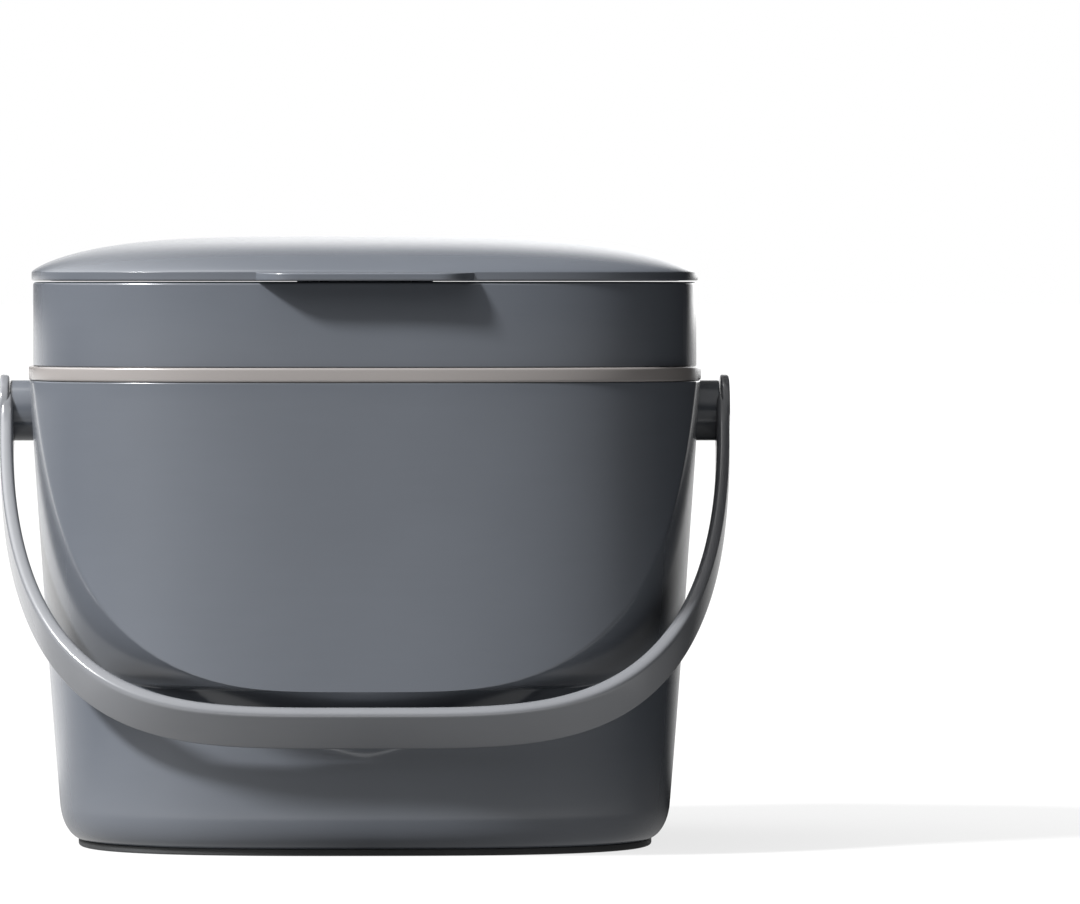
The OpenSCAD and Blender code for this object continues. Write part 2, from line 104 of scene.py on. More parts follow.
class BucketSizes(bpy.types.PropertyGroup):
    """Sizes of the bucket and of the outlines that the ring, the collar and the lid share with it."""

    rim_half_width: length("Rim half width", "Half the width of the bucket at its rim", 90)
    rim_half_depth: length("Rim half depth", "Half the depth of the bucket at its rim", 84)
    panel_half_span: length("Panel half span", "Half the width that the front panel's curve would reach", 95)
    side_half_span: length("Side half span", "Half the depth that the side walls' curve would reach", 122)
    foot_half_width: length("Foot half width", "Half the width just above the base", 81.3)
    foot_half_depth: length("Foot half depth", "Half the depth just above the base", 70)
    side_bow: length("Side bow", "How far the sides bow out from a straight taper", 0.5)
    panel_lean: length("Panel lean", "How far the front panel leans in down to its lower edge", 1)
    panel_edge_z: length("Panel edge height", "Height of the panel's lower edge", 44)
    slope_height: length("Slope height", "Height of the slope from the panel's edge into the recess", 18)
    rim_wall: length("Rim wall", "Wall thickness at the rim", 1.5)
    foot_wall: length("Foot wall", "Wall thickness at the foot", 2.2)
    floor: length("Floor", "Thickness of the floor", 2.2)
    foot_round_height: length("Foot round height", "Height of the rounded lower edge", 9)
    foot_round_in: length("Foot round depth", "How far the rounded lower edge turns in", 5)
    rim_round: length("Rim round", "Rounding of the rim's edges", 0.55)
    boss_radius: length("Boss radius", "Radius of the bosses that carry the handle", 8.2)
    boss_root: length("Boss root", "Distance from the middle to where a boss starts in the wall", 88.75)
    boss_round: length("Boss round", "Rounding of a boss's outer edge", 0.5)
    bore_radius: length("Bore radius", "Radius of the bore that a pivot pin turns in", 3.56)
    bore_depth: length("Bore depth", "Depth of the bore that a pivot pin turns in", 5.2)
    pad_in: length("Pad inset", "How far the base pad stands in from the lower wall", 4.2)
    pad_round: length("Pad round", "Rounding of the base pad's lower edge", 0.5)


class HandleSizes(bpy.types.PropertyGroup):
    """Sizes of the swinging handle."""

    band_thickness: length("Band thickness", "Thickness of the handle's band", 3.8)
    band_width: length("Band width", "Width of the handle's band", 14)
    band_round: length("Band round", "Rounding of the band's edges", 1.5)
    band_crown: length("Band crown", "How far the band's faces swell between their edges", 0.22)
    reach: length("Reach", "Distance from the pivot to the middle of the band", 114.63)
    rest_z: length("Rest height", "Height of the middle of the band when the handle rests", 34.4)
    eye_radius: length("Eye radius", "Radius of the round eyes", 9.7)
    eye_thickness: length("Eye thickness", "Thickness of the eyes", 2.4)
    eye_round: length("Eye round", "Rounding of the eyes' edges", 0.7)
    eye_fillet: length("Eye fillet", "Radius of the arcs between an eye and the band's edges", 15)
    pocket_radius: length("Pocket radius", "Radius of the pocket round a boss", 8.7)
    pin_radius: length("Pin radius", "Radius of the pivot pins", 3.5)
    pin_length: length("Pin length", "Length of the pivot pins", 5)


class RingSizes(bpy.types.PropertyGroup):
    """Sizes of the bag ring."""

    flange_over: length("Flange overhang", "How far the flange stands out past the rim", 0.3)
    flange_round: length("Flange round", "Rounding of the flange's edges", 0.75)
    wall: length("Wall", "Wall thickness of the ring", 1.6)
    skirt_inset: length("Skirt inset", "How far the skirt's top stands in from the rim", 2.1)
    skirt_taper: length("Skirt taper", "How far the skirt tapers in downwards", 0.7)
    foot_inset: length("Foot inset", "How far the upper wall's foot stands in from the rim", 2.6)
    top_inset: length("Top inset", "How far the upper wall's top stands in from the rim", 3.3)
    waist_inset: length("Waist inset", "How far the waist stands in from the rim", 4.2)
    waist_height: length("Waist height", "Height of the waist above the flange", 10.4)
    bead_out: length("Bead relief", "How far the corner beads stand out", 0.3)
    bead_low: length("Bead low", "Height of the corner beads' lower edge", 118.2)
    bead_high: length("Bead high", "Height of the corner beads' upper edge", 120.8)
    bead_from: length("Bead start", "Distance from the middle to a bead's inner end", 67.5)
    bead_to: length("Bead end", "Distance from the middle to a bead's outer end", 85.3)
    hole_radius: length("Hole radius", "Radius of the bag holes", 6.2)
    hole_rise: length("Hole rise", "Height of the bag holes above the flange", 11.4)
    hole_frame: length("Hole frame", "Width of the raised frame round a hole", 1.15)
    hole_frame_out: length("Hole frame relief", "How far the frame stands out", 0.5)
    tab_half_width: length("Tab half width", "Half the width of the tab below a hole", 8)
    tab_height: length("Tab height", "Height of the tab below a hole", 3.8)
    tab_slope: length("Tab slope", "How far each end of the tab slopes in", 1)


class LidSizes(bpy.types.PropertyGroup):
    """Sizes of the lid, its seal and the collar that carries it."""

    collar_inset: length("Collar inset", "How far the collar stands in from the rim", 0.9)
    collar_wall: length("Collar wall", "Wall thickness of the collar", 1.3)
    deck_thickness: length("Deck thickness", "Thickness of the collar's deck", 1.2)
    deck_width: length("Deck width", "Width of the collar's deck", 7.1)
    deck_round: length("Deck round", "Rounding of the collar's upper edge", 0.9)
    seal_gap: length("Seal gap", "Clearance between the seal and the deck", 0.3)
    lid_gap: length("Lid gap", "Gap between the lid and the collar", 0.4)
    lid_inset: length("Lid inset", "How far the lid stands in from the rim", 0.5)
    edge_thickness: length("Edge thickness", "Thickness of the lid's edge", 2.2)
    edge_round: length("Edge round", "Rounding of the lid's edge", 0.55)
    dome_wall: length("Dome wall", "Thickness of the dome", 2)
    groove_in: length("Groove inset", "Distance from the lid's edge to the seal's groove", 4.4)
    hollow_in: length("Hollow inset", "Distance from the lid's edge to the hollow of the dome", 7.6)
    lip_out: length("Lip reach", "How far the opening lip stands out", 7)
    lip_half_width: length("Lip half width", "Half the width of the opening lip", 28.4)
    lip_run: length("Lip run", "Length over which the lip grows at each end", 10.8)
    seal_width: length("Seal width", "Width of the seal", 2.6)
    seal_inset: length("Seal inset", "How far the seal stands in from the rim", 5.1)
    knuckle_radius: length("Knuckle radius", "Radius of the hinge's knuckle and lugs", 3)
    knuckle_half: length("Knuckle half length", "Half the length of the lid's knuckle", 12.7)
    knuckle_bore: length("Knuckle bore", "Radius of the knuckle's bore", 1.31)
    lug_gap: length("Lug gap", "Gap between the knuckle and a lug", 0.3)
    lug_bore: length("Lug bore", "Radius of a lug's bore", 1.27)
    hinge_round: length("Hinge round", "Rounding of the knuckle's and the lugs' ends", 0.35)


class FinishSettings(bpy.types.PropertyGroup):
    """Colours of the finishes. The handle's colour is the charcoal plastic painted a shade lighter, as
    painted light.
    """

    charcoal: colour("Charcoal", "Colour of the charcoal plastic", (0.074, 0.081, 0.094))
    # Painted light: the handle is the same charcoal plastic as the bucket, made a shade lighter to stand in
    # for the light it catches from the floor below
    handle: colour("Handle", "Colour of the handle's plastic, a shade lighter", (0.125, 0.129, 0.138))
    taupe: colour("Taupe", "Colour of the bag ring's plastic", (0.180, 0.168, 0.162))
    pad: colour("Pad", "Colour of the base pad's rubber", (0.017, 0.018, 0.019))
    seal: colour("Seal", "Colour of the lid seal's rubber", (0.035, 0.036, 0.038))
    steel: colour("Steel", "Colour of the hinge pin", (0.60, 0.60, 0.62))
    floor: colour("Floor", "Colour of the studio floor", (0.12, 0.12, 0.12))


class StudioSettings(bpy.types.PropertyGroup):
    """Camera and light of the studio."""

    camera_distance: length("Camera distance", "Distance from the camera to the middle of the caddy", 2500)
    camera_height: length("Camera height", "Height of the camera above the floor", 154)
    aim_right: length("Aim right", "How far right of the middle the camera aims", 47.3)
    aim_height: length("Aim height", "Height that the camera aims at", 105.2)
    view_width: length("View width", "Width of the view at the caddy's middle", 292)
    key_strength: FloatProperty(
        name="Key strength", description="Strength of the key light", default=7.7, min=0.0
    )
    key_size: FloatProperty(
        name="Key size",
        description="Angle across the key light",
        default=math.radians(8),
        min=0.0,
        subtype="ANGLE",
    )


GROUPS = {
    "caddy_bucket": BucketSizes,
    "caddy_handle": HandleSizes,
    "caddy_ring": RingSizes,
    "caddy_lid": LidSizes,
    "caddy_finish": FinishSettings,
    "caddy_studio": StudioSettings,
}


# ---------------------------------------------------------------- outlines


def superellipse(phi, a, b, power=CURVE_POWER):
    """Distance from the middle to the curve |x/a|^n + |y/b|^n = 1 at angle phi, where n is the power."""
    across = (np.abs(np.cos(phi)) / a) ** power
    along = (np.abs(np.sin(phi)) / b) ** power
    return (across + along) ** (-1 / power)


def soft_min(p, q, sharpness):
    """The smaller of two distances with the corner between them eased: p (1 + (p/q)^k)^(-1/k)."""
    return p * (1 + (p / q) ** sharpness) ** (-1 / sharpness)


def smooth_step(t):
    """0 below 0, 1 above 1, and the curve 3t^2 - 2t^3 between them."""
    t = np.clip(t, 0, 1)
    return t * t * (3 - 2 * t)


CORNER_SHARPNESS = 60
CREASE_SHARPNESS = 700


def rim_radius(sizes, phi, inset):
    """The rim's outline, set in by inset: the smaller of the panel curve and the side curve."""
    panel = superellipse(phi, sizes.panel_half_span - inset, sizes.rim_half_depth - inset)
    side = superellipse(phi, sizes.rim_half_width - inset, sizes.side_half_span - inset)
    return soft_min(panel, side, CORNER_SHARPNESS)


def even_turn(count):
    """Even angles all the way round."""
    return np.arange(count) / count * TAU


def place(radius, phi, z):
    """Points at the given distance and angle round the Z axis, and height."""
    radius, phi, z = np.broadcast_arrays(radius, phi, z)
    return np.stack([radius * np.cos(phi), radius * np.sin(phi), z], axis=-1)


def corner(before, at, after, cut, steps=6):
    """Points of a rounded corner: a quadratic curve that leaves each side at the distance cut."""
    before, at, after = (np.asarray(p, float) for p in (before, at, after))
    start = at + (before - at) / np.linalg.norm(before - at) * cut
    end = at + (after - at) / np.linalg.norm(after - at) * cut
    t = np.linspace(0, 1, steps + 1)[:, None]
    return (1 - t) ** 2 * start + 2 * t * (1 - t) * at + t**2 * end


def rounded_outline(corners, cuts, steps=6):
    """A closed outline through the given corners, each rounded by its own cut."""
    count = len(corners)
    return np.concatenate([
        corner(corners[i - 1], corners[i], corners[(i + 1) % count], cuts[i], steps) for i in range(count)
    ])


def between(start, end, count, bias=1.0):
    """Values strictly between start and end, crowded towards the start where bias is above 1."""
    return start + (end - start) * (np.arange(1, count + 1) / (count + 1)) ** bias


# ---------------------------------------------------------------- meshes


def signed_volume(points, faces):
    """Volume inside a closed mesh, negative where its faces point inwards, by fans of triangles."""
    total = 0.0
    for block in faces:
        a, b = points[block[:, 0]], points[block[:, 1]]
        for k in range(2, block.shape[1]):
            c = points[block[:, k]]
            total += np.einsum("ij,ij->", a, np.cross(b, c)) / 6
            b = c
    return total


def new_object(name, points, faces):
    """An object whose mesh has these points and blocks of faces, turned to point outwards."""
    if signed_volume(points, faces) < 0:
        faces = [block[:, ::-1] for block in faces]
    mesh = bpy.data.meshes.new(name)
    mesh.from_pydata(points.tolist(), [], [face for block in faces for face in block.tolist()])
    mesh.validate()
    obj = bpy.data.objects.new(name, mesh)
    bpy.context.scene.collection.objects.link(obj)
    return obj


def quads_between(rows, columns, wrap_rows):
    """Quads of a grid that is closed along its columns, and along its rows too where wrap_rows is set."""
    index = np.arange(rows * columns).reshape(rows, columns)
    right = np.roll(index, -1, axis=1)
    if wrap_rows:
        up, up_right = np.roll(index, -1, axis=0), np.roll(right, -1, axis=0)
    else:
        index, up = index[:-1], index[1:]
        right, up_right = right[:-1], right[1:]
    return np.stack([index, right, up_right, up], axis=-1).reshape(-1, 4)


def loop_surface(name, grid):
    """A closed surface from a grid of points that joins up both ways, like a tyre."""
    rows, columns = grid.shape[:2]
    return new_object(name, grid.reshape(-1, 3), [quads_between(rows, columns, True)])


def capped_surface(name, grid):
    """A closed surface from a grid that joins up round its columns and ends at a pole beyond each end row."""
    rows, columns = grid.shape[:2]
    poles = np.stack([grid[0].mean(axis=0), grid[-1].mean(axis=0)])
    points = np.concatenate([grid.reshape(-1, 3), poles])
    first, last = rows * columns, rows * columns + 1
    ring = np.arange(columns)
    start = np.stack([np.roll(ring, -1), ring, np.full(columns, first)], axis=-1)
    ring = ring + (rows - 1) * columns
    end = np.stack([ring, np.roll(ring, -1), np.full(columns, last)], axis=-1)
    return new_object(name, points, [quads_between(rows, columns, False), start, end])


def lathe(name, profile, centre, count):
    """A closed surface turned round an axis along X through centre. The profile holds (radius, x)."""
    turn = even_turn(count)
    radius, x = profile[:, :1], profile[:, 1:]
    y = centre[0] + radius * np.cos(turn)
    z = centre[1] + radius * np.sin(turn)
    return capped_surface(name, np.stack([np.broadcast_to(x, y.shape), y, z], axis=-1))


def join_solids(target, other, operation):
    """Joins or cuts one closed mesh with another, which is then deleted."""
    step = target.modifiers.new("solid", "BOOLEAN")
    step.operation = operation
    step.solver = "MANIFOLD"
    step.object = other
    bpy.context.view_layer.update()
    made = bpy.data.meshes.new_from_object(target.evaluated_get(bpy.context.evaluated_depsgraph_get()))
    target.modifiers.clear()
    if len(made.polygons) == 0:
        raise RuntimeError(f"{operation} of {target.name} and {other.name} left nothing")
    old = target.data
    target.data = made
    made.name = target.name
    bpy.data.meshes.remove(old)
    bpy.data.objects.remove(other)
    return target


SHARP_ANGLE = math.radians(34)


def dress(obj, material, body, node):
    """Shades a piece, gives it its finish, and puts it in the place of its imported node."""
    obj.data.shade_smooth()
    obj.data.set_sharp_from_angle(angle=SHARP_ANGLE)
    obj.data.materials.clear()
    obj.data.materials.append(material)
    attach(obj, body)
    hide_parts(node)
    return obj


# ---------------------------------------------------------------- finishes

CHARCOAL_SKIN = {"gloss": 0.2, "clouding": 0.035, "peel": 0.12}
TAUPE_SKIN = {"gloss": 0.24, "clouding": 0.03, "peel": 0.14}


class Value:
    """A number that varies over a surface. Arithmetic on it adds Math nodes."""

    def __init__(self, paint, socket):
        self.paint, self.socket = paint, socket

    def math(self, operation, *values):
        return self.paint.add("ShaderNodeMath", {"operation": operation}, dict(enumerate(values)))

    def __add__(self, other):
        return self.math("ADD", self, other)

    __radd__ = __add__

    def __sub__(self, other):
        return self.math("SUBTRACT", self, other)

    def __rsub__(self, other):
        return self.math("SUBTRACT", other, self)

    def __mul__(self, other):
        return self.math("MULTIPLY", self, other)

    __rmul__ = __mul__

    def ramp(self, low, high):
        """0 at low, 1 at high, eased between them."""
        return self.paint.add(
            "ShaderNodeMapRange",
            {"interpolation_type": "SMOOTHSTEP", "clamp": True},
            {"Value": self, "From Min": low, "From Max": high},
        )


class Paint:
    """The node tree of one finish."""

    def __init__(self, tree):
        tree.nodes.clear()
        self.tree = tree

    def add(self, kind, settings=None, sockets=None, output=0):
        """Adds a node, makes its settings and fills its sockets with numbers or links."""
        node = self.tree.nodes.new(kind)
        for name, value in (settings or {}).items():
            setattr(node, name, value)
        for name, value in (sockets or {}).items():
            if isinstance(value, Value):
                self.tree.links.new(value.socket, node.inputs[name])
            else:
                node.inputs[name].default_value = value
        return Value(self, node.outputs[output]) if len(node.outputs) else None

    def position(self, stretch=(1, 1, 1)):
        """The place on the piece, stretched for grain that runs one way."""
        place_on = self.add("ShaderNodeTexCoord", output="Object")
        return self.add("ShaderNodeMapping", {}, {"Vector": place_on, "Scale": stretch})

    def noise(self, vector, scale, detail=2.0, roughness=0.5):
        """Cloudy noise from 0 to 1 with features of about 1/scale metres."""
        return self.add(
            "ShaderNodeTexNoise",
            {"noise_dimensions": "3D"},
            {"Vector": vector, "Scale": scale, "Detail": detail, "Roughness": roughness},
        )

    def blend(self, share, first, second):
        """Colour that goes from first to second as share goes from 0 to 1."""
        return self.add(
            "ShaderNodeMix",
            {"data_type": "RGBA"},
            {0: share, 6: (*first, 1.0), 7: (*second, 1.0)},
            output=2,
        )

    def bump(self, height, strength, distance):
        """A fine relief that tilts the surface's normal."""
        sockets = {"Strength": strength, "Distance": distance, "Height": height}
        return self.add("ShaderNodeBump", {}, sockets)

    def surface(self, sockets):
        """Ends the tree with a Principled shader."""
        shader = self.add("ShaderNodeBsdfPrincipled", {}, sockets)
        self.add("ShaderNodeOutputMaterial", {}, {"Surface": shader})


def new_finish(name):
    """An empty material and its paint."""
    material = bpy.data.materials.new(name)
    material.use_nodes = True
    return material, Paint(material.node_tree)


def shade(rgb, factor):
    """A colour made lighter or darker."""
    return tuple(min(1.0, channel * factor) for channel in rgb)


def moulded_plastic(name, rgb, gloss, clouding, peel):
    """Injection-moulded plastic: faint clouding of the pigment, flow lines, and a fine moulded skin."""
    material, paint = new_finish(name)
    spot = paint.position()
    clouds = paint.noise(spot, scale=26.0, detail=3.0, roughness=0.55)
    flow = paint.noise(paint.position(stretch=(1.0, 1.0, 7.0)), scale=60.0)
    grain = paint.noise(spot, scale=2600.0, roughness=0.6)
    skin = paint.noise(spot, scale=420.0)
    tone = clouds * 0.7 + flow * 0.2 + grain * 0.1
    tint = paint.blend(tone.ramp(0.25, 0.75), shade(rgb, 1 - clouding), shade(rgb, 1 + clouding))
    relief = paint.bump(skin * 0.7 + grain * 0.3, strength=peel, distance=0.05 * MM)
    paint.surface({
        "Base Color": tint,
        "Roughness": gloss + (skin - 0.5) * 0.05 + (clouds - 0.5) * 0.06,
        "Normal": relief,
        "IOR": 1.5,
    })
    return material


def matt_rubber(name, rgb):
    """Soft rubber: a dull skin with a fine pebble and pale bloom in patches."""
    material, paint = new_finish(name)
    spot = paint.position()
    pebble = paint.noise(spot, scale=1500.0, roughness=0.6)
    bloom = paint.noise(spot, scale=45.0, detail=3.0, roughness=0.6)
    relief = paint.bump(pebble, strength=0.5, distance=0.08 * MM)
    paint.surface({
        "Base Color": paint.blend(bloom.ramp(0.35, 0.8), rgb, shade(rgb, 1.5)),
        "Roughness": 0.68 + (pebble - 0.5) * 0.12,
        "Normal": relief,
        "IOR": 1.45,
    })
    return material


def drawn_steel(name, rgb):
    """Drawn steel wire: bright, with fine lines along its length."""
    material, paint = new_finish(name)
    along = paint.position(stretch=(30.0, 1800.0, 1800.0))
    lines = paint.noise(along, scale=1.0, detail=3.0, roughness=0.7)
    dulling = paint.noise(paint.position(), scale=160.0)
    relief = paint.bump(lines, strength=0.3, distance=0.02 * MM)
    paint.surface({
        "Base Color": paint.blend(lines, shade(rgb, 0.86), shade(rgb, 1.08)),
        "Metallic": 1.0,
        "Roughness": 0.22 + lines * 0.14 + dulling * 0.08,
        "Normal": relief,
    })
    return material


def charcoal_plastic(context):
    """The charcoal plastic of the bucket, the collar and the lid, made once."""
    name = "charcoal_moulding"
    made = bpy.data.materials.get(name)
    return made or moulded_plastic(name, context.scene.caddy_finish.charcoal, **CHARCOAL_SKIN)


# ---------------------------------------------------------------- bucket

STEEPEST_CREASE = math.radians(88.5)
SIDE_COLUMNS = 48
PANEL_COLUMNS = 48
COLUMN_CROWDING = 1.5
CREASE_STEPS = 40
SIDE_RISE = 0.4
SIDE_LOW_POWER = 1.8
SIDE_POWER_RISE = 0.7
BORE_END_ROUND = 0.2 * MM
BORE_MOUTH_ROUND = 0.3 * MM
FOOT_ROWS = 13
FLOOR_SHARES = np.array([0.02, 0.35, 0.7, 0.93, 0.98])

# Distances of the rows from the panel's lower edge, growing away from it
EDGE_STEPS = MM * np.array(
    [0.0, 0.004, 0.012, 0.03, 0.06, 0.1, 0.16, 0.24, 0.34, 0.46, 0.6, 0.8, 1.05, 1.4, 1.9]
)


def side_half_width(sizes, z):
    """Half width of the lower wall at height z: a straight taper with a bow of 4u(1-u)."""
    u = z / RIM_Z
    taper = sizes.foot_half_width + (sizes.rim_half_width - sizes.foot_half_width) * u
    return taper + sizes.side_bow * 4 * u * (1 - u)


def panel_share(sizes, z):
    """How far up the panel z is: 0 at its lower edge and below, 1 at the rim."""
    return np.clip((z - sizes.panel_edge_z) / (RIM_Z - sizes.panel_edge_z), 0, 1)


def side_power(sizes, z):
    """Power of the side curve at height z, rising from 1.8 at the panel's edge to 3 as share^0.7."""
    return SIDE_LOW_POWER + (CURVE_POWER - SIDE_LOW_POWER) * panel_share(sizes, z) ** SIDE_POWER_RISE


def recess_half_depth(sizes, z):
    """Half depth of the side curve at height z: a cubic slope up to the panel's edge, then share^0.4."""
    edge = sizes.panel_edge_z
    low_depth = sizes.rim_half_depth - sizes.panel_lean
    t = np.clip(1 - (edge - z) / sizes.slope_height, 0, 1)
    below = sizes.foot_half_depth + (low_depth - sizes.foot_half_depth) * t * t * (2 - t)
    above = low_depth + (sizes.side_half_span - low_depth) * panel_share(sizes, z) ** SIDE_RISE
    return np.where(z < edge, below, above)


def panel_half_depth(sizes, z):
    """Half depth of the panel curve at height z, leaning in from the rim to the panel's edge."""
    fall = np.minimum(1, (RIM_Z - z) / (RIM_Z - sizes.panel_edge_z))
    return sizes.rim_half_depth - sizes.panel_lean * fall


def quarter_columns(crease):
    """Angles of one quarter's columns for each row, crowded towards that row's crease."""
    side = 1 - (1 - np.arange(SIDE_COLUMNS) / SIDE_COLUMNS) ** COLUMN_CROWDING
    panel = (np.arange(PANEL_COLUMNS + 1) / PANEL_COLUMNS) ** COLUMN_CROWDING
    return np.concatenate([crease * side, crease + (math.pi / 2 - crease) * panel], axis=1)


def all_columns(quarter):
    """The angles of a quarter, mirrored into the other three."""
    back = quarter[:, :0:-1]
    return np.concatenate(
        [quarter[:, :-1], math.pi - back, math.pi + quarter[:, :-1], TAU - back], axis=1
    )


def bucket_grid(sizes, z, inset, scale):
    """Points of the bucket at rows of height z, set in by inset and scaled about the middle.

    Each row is the smaller of the panel curve and the side curve, and never less than the plain
    curve of the lower wall. Its columns follow the crease, the angle past which the side curve is
    the larger, which is found by halving the range that holds it.
    """
    z, inset, scale = (np.asarray(v, float)[:, None] for v in (z, inset, scale))
    z = np.minimum(z, RIM_Z)
    width, power = side_half_width(sizes, z) - inset, side_power(sizes, z)

    def panel(phi):
        return superellipse(phi, sizes.panel_half_span - inset, panel_half_depth(sizes, z) - inset)

    def side(phi):
        return superellipse(phi, width, recess_half_depth(sizes, z) - inset, power)

    low, high = np.zeros_like(z), np.full_like(z, STEEPEST_CREASE)
    for _ in range(CREASE_STEPS):
        middle = (low + high) / 2
        past = side(middle) > panel(middle)
        low, high = np.where(past, low, middle), np.where(past, middle, high)
    phi = all_columns(quarter_columns(high))
    tub = superellipse(phi, width, sizes.foot_half_depth - inset)
    radius = np.maximum(tub, soft_min(panel(phi), side(phi), CREASE_SHARPNESS))
    return place(scale * radius, phi, z)


def wall_heights(sizes, foot):
    """Heights of the rows between the rounded foot and the rim, crowded at the panel's edge."""
    edge = sizes.panel_edge_z
    recess = edge - sizes.slope_height
    return np.concatenate([
        between(foot + sizes.foot_round_height, recess, 5),
        [recess],
        between(recess, edge - EDGE_STEPS[-1], 16),
        edge - EDGE_STEPS[:0:-1],
        edge + EDGE_STEPS,
        between(edge + EDGE_STEPS[-1], RIM_Z - sizes.rim_round, 22, 1.4),
    ])


def bucket_rows(sizes):
    """Height, inset and scale of each row, from under the middle, up the outside and down the inside."""
    turn = np.linspace(0, math.pi / 2, FOOT_ROWS)
    inner_foot = FOOT_Z + sizes.floor

    def foot_rows(foot):
        height = foot + sizes.foot_round_height * (1 - np.cos(turn))
        return height, sizes.foot_round_in * (1 - np.sin(turn))

    def wall(z):
        return sizes.rim_wall + (sizes.foot_wall - sizes.rim_wall) * (1 - z / RIM_Z)

    outer_z, outer_in = foot_rows(FOOT_Z)
    inner_z, inner_in = foot_rows(inner_foot)
    walls_out, walls_in = wall_heights(sizes, FOOT_Z), wall_heights(sizes, inner_foot)
    rim = [(0, RIM_Z - 1), (0, RIM_Z), (sizes.rim_wall, RIM_Z), (sizes.rim_wall, RIM_Z - 1)]
    edge = np.concatenate([corner(rim[i], rim[i + 1], rim[i + 2], sizes.rim_round) for i in (0, 1)])
    flat = np.ones_like(FLOOR_SHARES)
    z = np.concatenate([
        FOOT_Z * flat,
        outer_z,
        walls_out,
        edge[:, 1],
        walls_in[::-1],
        inner_z[::-1],
        inner_foot * flat,
    ])
    inset = np.concatenate([
        sizes.foot_round_in * flat,
        outer_in,
        0 * walls_out,
        edge[:, 0],
        wall(walls_in[::-1]),
        (inner_in + wall(inner_z))[::-1],
        (sizes.foot_round_in + wall(inner_foot)) * flat,
    ])
    scale = np.ones_like(z)
    scale[: len(flat)] = FLOOR_SHARES
    scale[-len(flat) :] = FLOOR_SHARES[::-1]
    return z, inset, scale


def boss_profile(sizes):
    """(radius, distance out) of a boss with its blind bore, from the bore's bottom to the boss's root."""
    bottom = BOSS_END - sizes.bore_depth
    mouth = (sizes.bore_radius, BOSS_END)
    rim = (sizes.boss_radius, BOSS_END)
    return np.concatenate([
        [(sizes.bore_radius * 0.5, bottom)],
        corner((0, bottom), (sizes.bore_radius, bottom), mouth, BORE_END_ROUND, 3),
        corner((sizes.bore_radius, bottom), mouth, rim, BORE_MOUTH_ROUND, 3),
        corner(mouth, rim, (sizes.boss_radius, sizes.boss_root), sizes.boss_round),
        [(sizes.boss_radius, sizes.boss_root), (sizes.boss_radius * 0.5, sizes.boss_root)],
    ])


BOSS_COLUMNS = 128
PAD_COLUMNS = 360
PAD_SHARES = (0.04, 0.4, 0.8, 0.95)


class CADDY_OT_bucket(bpy.types.Operator):
    """Build the bucket with the bosses that carry the handle"""

    bl_idname = "caddy.bucket"
    bl_label = "Bucket"

    def execute(self, context):
        sizes = context.scene.caddy_bucket
        bucket = capped_surface("bucket_shell", bucket_grid(sizes, *bucket_rows(sizes)))
        for side in (-1, 1):
            profile = boss_profile(sizes) * (1, side)
            boss = lathe("boss", profile, (0, PIVOT_Z), BOSS_COLUMNS)
            join_solids(bucket, boss, "UNION")
        dress(bucket, charcoal_plastic(context), "bucket_body", "bucket")
        return {"FINISHED"}


class CADDY_OT_base_pad(bpy.types.Operator):
    """Build the non-slip pad under the bucket"""

    bl_idname = "caddy.base_pad"
    bl_label = "Base pad"

    def execute(self, context):
        sizes = context.scene.caddy_bucket
        top, cut = FOOT_Z, sizes.pad_round
        edge = np.concatenate([
            corner((1, 0), (0, 0), (0, top), cut),
            corner((0, 0), (0, top), (1, top), cut / 4, 3),
        ])
        inset, z = edge[:, :1] + sizes.pad_in, edge[:, 1:]
        phi = even_turn(PAD_COLUMNS)
        a, b = side_half_width(sizes, FOOT_Z), sizes.foot_half_depth
        rim = place(superellipse(phi, a - inset, b - inset), phi, z)
        under = np.stack([rim[0] * (s, s, 1) for s in PAD_SHARES])
        over = np.stack([rim[-1] * (s, s, 1) for s in reversed(PAD_SHARES)])
        pad = capped_surface("base_pad_rubber", np.concatenate([under, rim, over]))
        rubber = matt_rubber("pad_skin", context.scene.caddy_finish.pad)
        dress(pad, rubber, "bucket_body", "base_pad")
        return {"FINISHED"}


# ---------------------------------------------------------------- handle

POWER_ACROSS = 4
POWER_ALONG = 2.45
BAIL_ROWS = 240
BAND_CORNER_STEPS = 10
BAND_FACE_ROWS = 9
PIN_TIP_ROUND = 0.4 * MM
PIN_ROOT_ROUND = 0.15 * MM
EYE_FACE_DIP = 0.01 * MM


def bail_curve(psi, half_width, reach):
    """Points of the bail's curve, |x/w|^4 + |y/r|^2.45 = 1, where x is w sin(psi)."""
    share = np.sin(psi)
    along = np.clip(1 - np.abs(share) ** POWER_ACROSS, 0, 1) ** (1 / POWER_ALONG)
    return np.stack([half_width * share, -reach * along], axis=-1)


def band_section(sizes):
    """The band's crowned, rounded section, as share of its thickness and height across its width."""
    thick, half = sizes.band_thickness, sizes.band_width / 2
    box = [(thick, half), (0, half), (0, -half), (thick, -half)]
    outline = rounded_outline(box, [sizes.band_round] * 4, BAND_CORNER_STEPS)
    halfway = len(outline) // 2
    face = between(-half + sizes.band_round, half - sizes.band_round, BAND_FACE_ROWS)
    full = np.concatenate([
        outline[:halfway],
        np.stack([0 * face, face[::-1]], axis=-1),
        outline[halfway:],
        np.stack([0 * face + thick, face], axis=-1),
    ])
    dip = sizes.band_crown * (full[:, 1] / half) ** 2
    full[:, 0] += dip * (1 - 2 * full[:, 0] / thick)
    return full[:, 0] / thick, full[:, 1]


def eye_blend(sizes, along):
    """The band's width at a distance along the arm, as a share. An arc runs it out to the round eye."""
    half = sizes.band_width / 2
    arc_height = half + sizes.eye_fillet
    arc_end = math.sqrt((sizes.eye_radius + sizes.eye_fillet) ** 2 - arc_height**2)
    arc_start = arc_end * sizes.eye_radius / (sizes.eye_radius + sizes.eye_fillet)
    run = arc_end - np.clip(along, arc_start, arc_end)
    return (arc_height - np.sqrt(sizes.eye_fillet**2 - run**2)) / half


